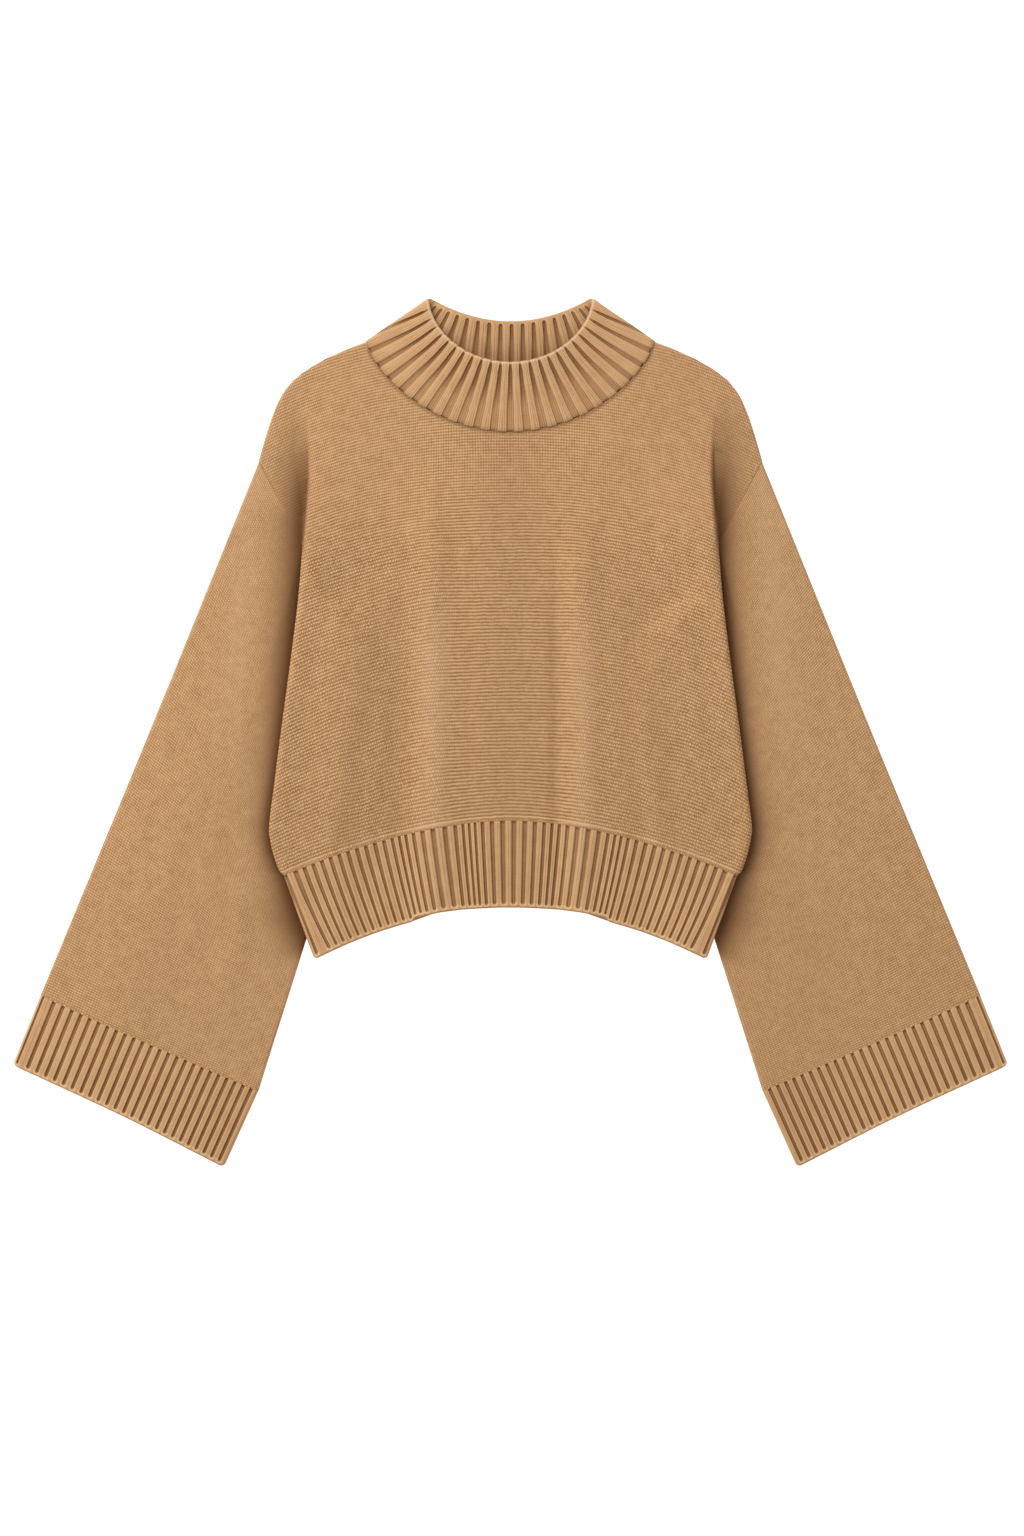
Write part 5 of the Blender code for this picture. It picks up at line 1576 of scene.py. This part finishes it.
def collar_heights(x, y, across, up):
    """The collar's front band rises away from its back band towards the top edge."""
    bow = 1.0 - abs(2 * across - 1) ** 2.5
    inside = WALL + EDGE_GAP + (LOFT + COLLAR_OPEN * up) * bow
    return inside + RIB_WALL, np.zeros(np.shape(x))


def collar_centres(up):
    """The ribs fan a little more than the band does, so the last ones meet its sides."""
    numbers = np.arange(COLLAR_RIBS) - COLLAR_RIBS // 2
    return 0.5 + numbers * (FAN_PITCH - FAN_CHANGE * up)


def collar_style(up, centres, pitch):
    """Open and shallow at the seam, narrow and deep under the top edge."""
    same = np.ones(len(centres))
    near_top = smoothstep(0.25, 0.75, up)
    before_edge = 1 - 0.8 * smoothstep(0.94, 0.968, up)
    at_side = smoothstep(0.45, 0.9, abs(2 * centres - 1))
    width = 0.44 - 0.08 * near_top - 0.18 * smoothstep(0.84, 0.96, up) - 0.14 * at_side
    tone = 0.45 + 0.62 * near_top + 0.30 * at_side * (1 - near_top)
    return width, (0.55 + 0.45 * near_top) * before_edge * same, tone * before_edge


def back_shares(turns, up):
    """Inside the back, the ribs stay nearly parallel though the band widens."""
    upright = COLLAR_HALF / (seam_half + (COLLAR_HALF - seam_half) * up)
    return 0.5 + 0.5 * (upright * np.sin(turns) + (1 - upright) * np.sin(turns) ** 3)


def back_style(up, centres, pitch):
    """Inside the back the grooves narrow away from the seam, and their painted shade deepens."""
    same = np.ones(len(centres))
    width = 0.44 - 0.12 * smoothstep(0.45, 0.9, up)
    tone = 0.72 + 0.28 * smoothstep(0.6, 0.85, up)
    return width * same, same, tone * same


def back_shade(points, place):
    """Painted shade inside the collar, where little light falls, most of all at its folded ends."""
    down = 1 - place / COLLAR_HEIGHT
    side = smoothstep(0.72, 1.0, abs(points[..., 0]) / (COLLAR_HALF + 50.0 * down))
    edge = smoothstep(0.04, 0.10, down)
    return (0.04 + 0.26 * smoothstep(0.12, 0.6, down) + 0.40 * side) * edge


def collar_shade(points, place):
    """Painted shade at the seam; painted light on the rib ends where they roll over the top edge, and a
    little at the sides.
    """
    side = smoothstep(60.0, 130.0, abs(points[..., 0]))
    soft = 0.22 * np.exp(-(place / 3.5) ** 2)
    rim = 0.42 * np.exp(-((COLLAR_HEIGHT - 1.6 - place) / 1.1) ** 2)
    return seam_shade(points, place) + soft - rim - 0.03 * side


seam_half = NECK_HALF - 0.35
collar_side = through((
    (-seam_half - 0.6, NECK_Y + 1.0), (-108.2, 366.8), (-90.2, 378.8), (-COLLAR_HALF, COLLAR_Y)))
collar_front = patch(bowl(seam_half + 0.6, NECK_Y + 1.0, NECK_DROP_FRONT + 1.0, NECK_POWER),
                     bowl(COLLAR_HALF, COLLAR_Y, COLLAR_DROP_FRONT, COLLAR_POWER_FRONT),
                     collar_side, mirrored(collar_side))
collar_back = patch(bowl(seam_half + 0.6, NECK_Y + 1.0, NECK_DROP_BACK + 1.0, NECK_POWER),
                    bowl(COLLAR_HALF, COLLAR_Y, COLLAR_DROP_BACK, COLLAR_POWER_BACK),
                    collar_side, mirrored(collar_side))
back_turns = COLLAR_BACK_PITCH * (np.arange(COLLAR_BACK_RIBS) - COLLAR_BACK_RIBS // 2)
back_turns = back_turns + 0.01 - 0.02 * np.sin(3.4 * (back_turns - 0.09))   # knitted a little unevenly
back_columns = np.linspace(-0.5 * math.pi, 0.5 * math.pi, 340)[1:-1]
collar = band_piece(
    "collar_rib", collar_front, collar_back, collar_heights, COLLAR_HEIGHT, 1.8,
    np.linspace(0, 1, 21 * COLLAR_RIBS)[1:-1],
    {"centres": collar_centres, "style": collar_style, "end": -4.0}, collar_shade,
    back={"centres": lambda up: back_shares(back_turns, up), "style": back_style, "end": 3.4,
          "columns": lambda up: back_shares(back_columns, up), "shade": back_shade},
    corner=3.0, Wale_pitch=2.0 * MM)

# %% [markdown]
# ## Seams
#
# The pieces are linked loop by loop. Each seam is a chain of small stitches that
# lies in the crease between the two pieces.


# %% Chains along the seams
# painted shade on the linking thread
SEAM_PAINTED_SHADE = 0.08                       # how much darker the yarn is in a seam


def seam_chain(name, places, height, mirror=False, **sizes):
    """Sow stitches along a line of places on the sweater's face."""
    points = np.column_stack([places, height])
    if mirror:
        points = points * np.array([-1.0, 1.0, 1.0])
    placed = (points - np.array([0.0, LAY_CENTRE_Y, 0.0])) * MM
    mesh = bpy.data.meshes.new(name)
    mesh.from_pydata(placed.tolist(), [(spot, spot + 1) for spot in range(len(placed) - 1)], [])
    piece = bpy.data.objects.new(name, mesh)
    bpy.context.scene.collection.objects.link(piece)
    run_tree(piece, chain_tree, thread, **sizes)
    piece.data.attributes.new("hollow", "FLOAT", "POINT")
    piece.data.attributes["hollow"].data.foreach_set("value", [SEAM_PAINTED_SHADE] * len(piece.data.vertices))
    piece.data.shade_smooth()
    return piece


neck_line = bowl(NECK_HALF - 0.6, NECK_Y - 0.8, NECK_DROP_FRONT + 0.4, NECK_POWER)
neck_seam = neck_line(np.linspace(0.015, 0.985, 240))
hem_seam = arch(HEM_HALF - 3.0, HEM_Y + 0.35, HEM_DROP - 1.2, HEM_POWER)(np.linspace(0, 1, 240))
cuff_seam = through(CUFF_SEAM)(np.linspace(0.014, 0.986, 100))
cuff_top = WALL + RIB_WALL + EDGE_GAP + sleeve_puff(np.linspace(0.014, 0.986, 100))
collar_chain = seam_chain(
    "collar_linking", neck_seam, body_top(*neck_seam.T) - 0.15, Pitch=2.9 * MM, Stitch_length=2.5 * MM,
    Stitch_width=1.3 * MM, Tilt=0.9)
hem_chain = seam_chain(
    "hem_linking", hem_seam, body_top(*hem_seam.T) - 0.15, Pitch=3.1 * MM, Stitch_length=2.0 * MM,
    Stitch_width=1.2 * MM, Tilt=0.0)
cuff_left_chain = seam_chain(
    "cuff_left_linking", cuff_seam, cuff_top + 0.05, Pitch=4.5 * MM, Stitch_length=3.2 * MM,
    Stitch_width=1.2 * MM, Tilt=0.0)
cuff_right_chain = seam_chain(
    "cuff_right_linking", cuff_seam, cuff_top + 0.05, mirror=True, Pitch=4.5 * MM, Stitch_length=3.2 * MM,
    Stitch_width=1.2 * MM, Tilt=0.0)

# %% [markdown]
# ## Floor, light and camera
#
# The floor is white paper that glows a little, so it stays white under the
# sweater. One large soft light stands at the upper left, which gives the ribs and
# ridges a lit side, and the camera looks straight down.

# %% Floor, light and camera
bpy.ops.mesh.primitive_plane_add(size=8.0, location=(0.0, 0.0, -0.0004))
floor = bpy.context.object
floor.name = "floor"
paper = bpy.data.materials.new("white_paper_floor")
paper.use_nodes = True
paper_sockets = paper.node_tree.nodes["Principled BSDF"].inputs
paper_sockets["Base Color"].default_value = (0.5, 0.5, 0.5, 1.0)
paper_sockets["Roughness"].default_value = 0.9
paper_sockets["Specular IOR Level"].default_value = 0.1
paper_sockets["Emission Color"].default_value = (1.0, 1.0, 1.0, 1.0)
paper_sockets["Emission Strength"].default_value = 0.85
floor.data.materials.append(paper)

scene = bpy.context.scene
world = bpy.data.worlds.new("soft_studio")
scene.world = world
world.use_nodes = True
world.node_tree.nodes["Background"].inputs["Color"].default_value = (1.0, 1.0, 1.0, 1.0)
world.node_tree.nodes["Background"].inputs["Strength"].default_value = 0.62

key = bpy.data.lights.new("window", "AREA")
key.shape = "RECTANGLE"
key.size = 2.4
key.size_y = 2.4
key.energy = 88.0
key_light = bpy.data.objects.new("window", key)
key_light.location = (-1.9, 1.7, 2.3)
key_light.rotation_euler = (math.radians(-38.0), math.radians(-40.0), 0.0)
scene.collection.objects.link(key_light)

camera_data = bpy.data.cameras.new("camera")
camera_data.sensor_width = 36.0
camera_data.lens = 80.7
camera_data.clip_end = 50.0
camera = bpy.data.objects.new("camera", camera_data)
camera.location = (0.0014, -0.0323, 3.108)
scene.collection.objects.link(camera)
scene.camera = camera
scene.view_settings.view_transform = "Standard"
print("height of the camera over the floor, in metres:", round(camera.location.z, 3))

# %% Hide the imported walls and attach every piece to the root body
for piece, node, slot in (
        (front, "front", "camel_knit"), (back, "back", "camel_knit"),
        (sleeve_left, "sleeve_left", "camel_knit"), (sleeve_right, "sleeve_right", "camel_knit"),
        (collar, "collar", "camel_rib"), (hem, "hem_band", "camel_rib"),
        (cuff_left, "cuff_left", "camel_rib"), (cuff_right, "cuff_right", "camel_rib")):
    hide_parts(node)
    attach(piece, "root")
for piece in (collar_chain, hem_chain, cuff_left_chain, cuff_right_chain):
    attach(piece, "root")
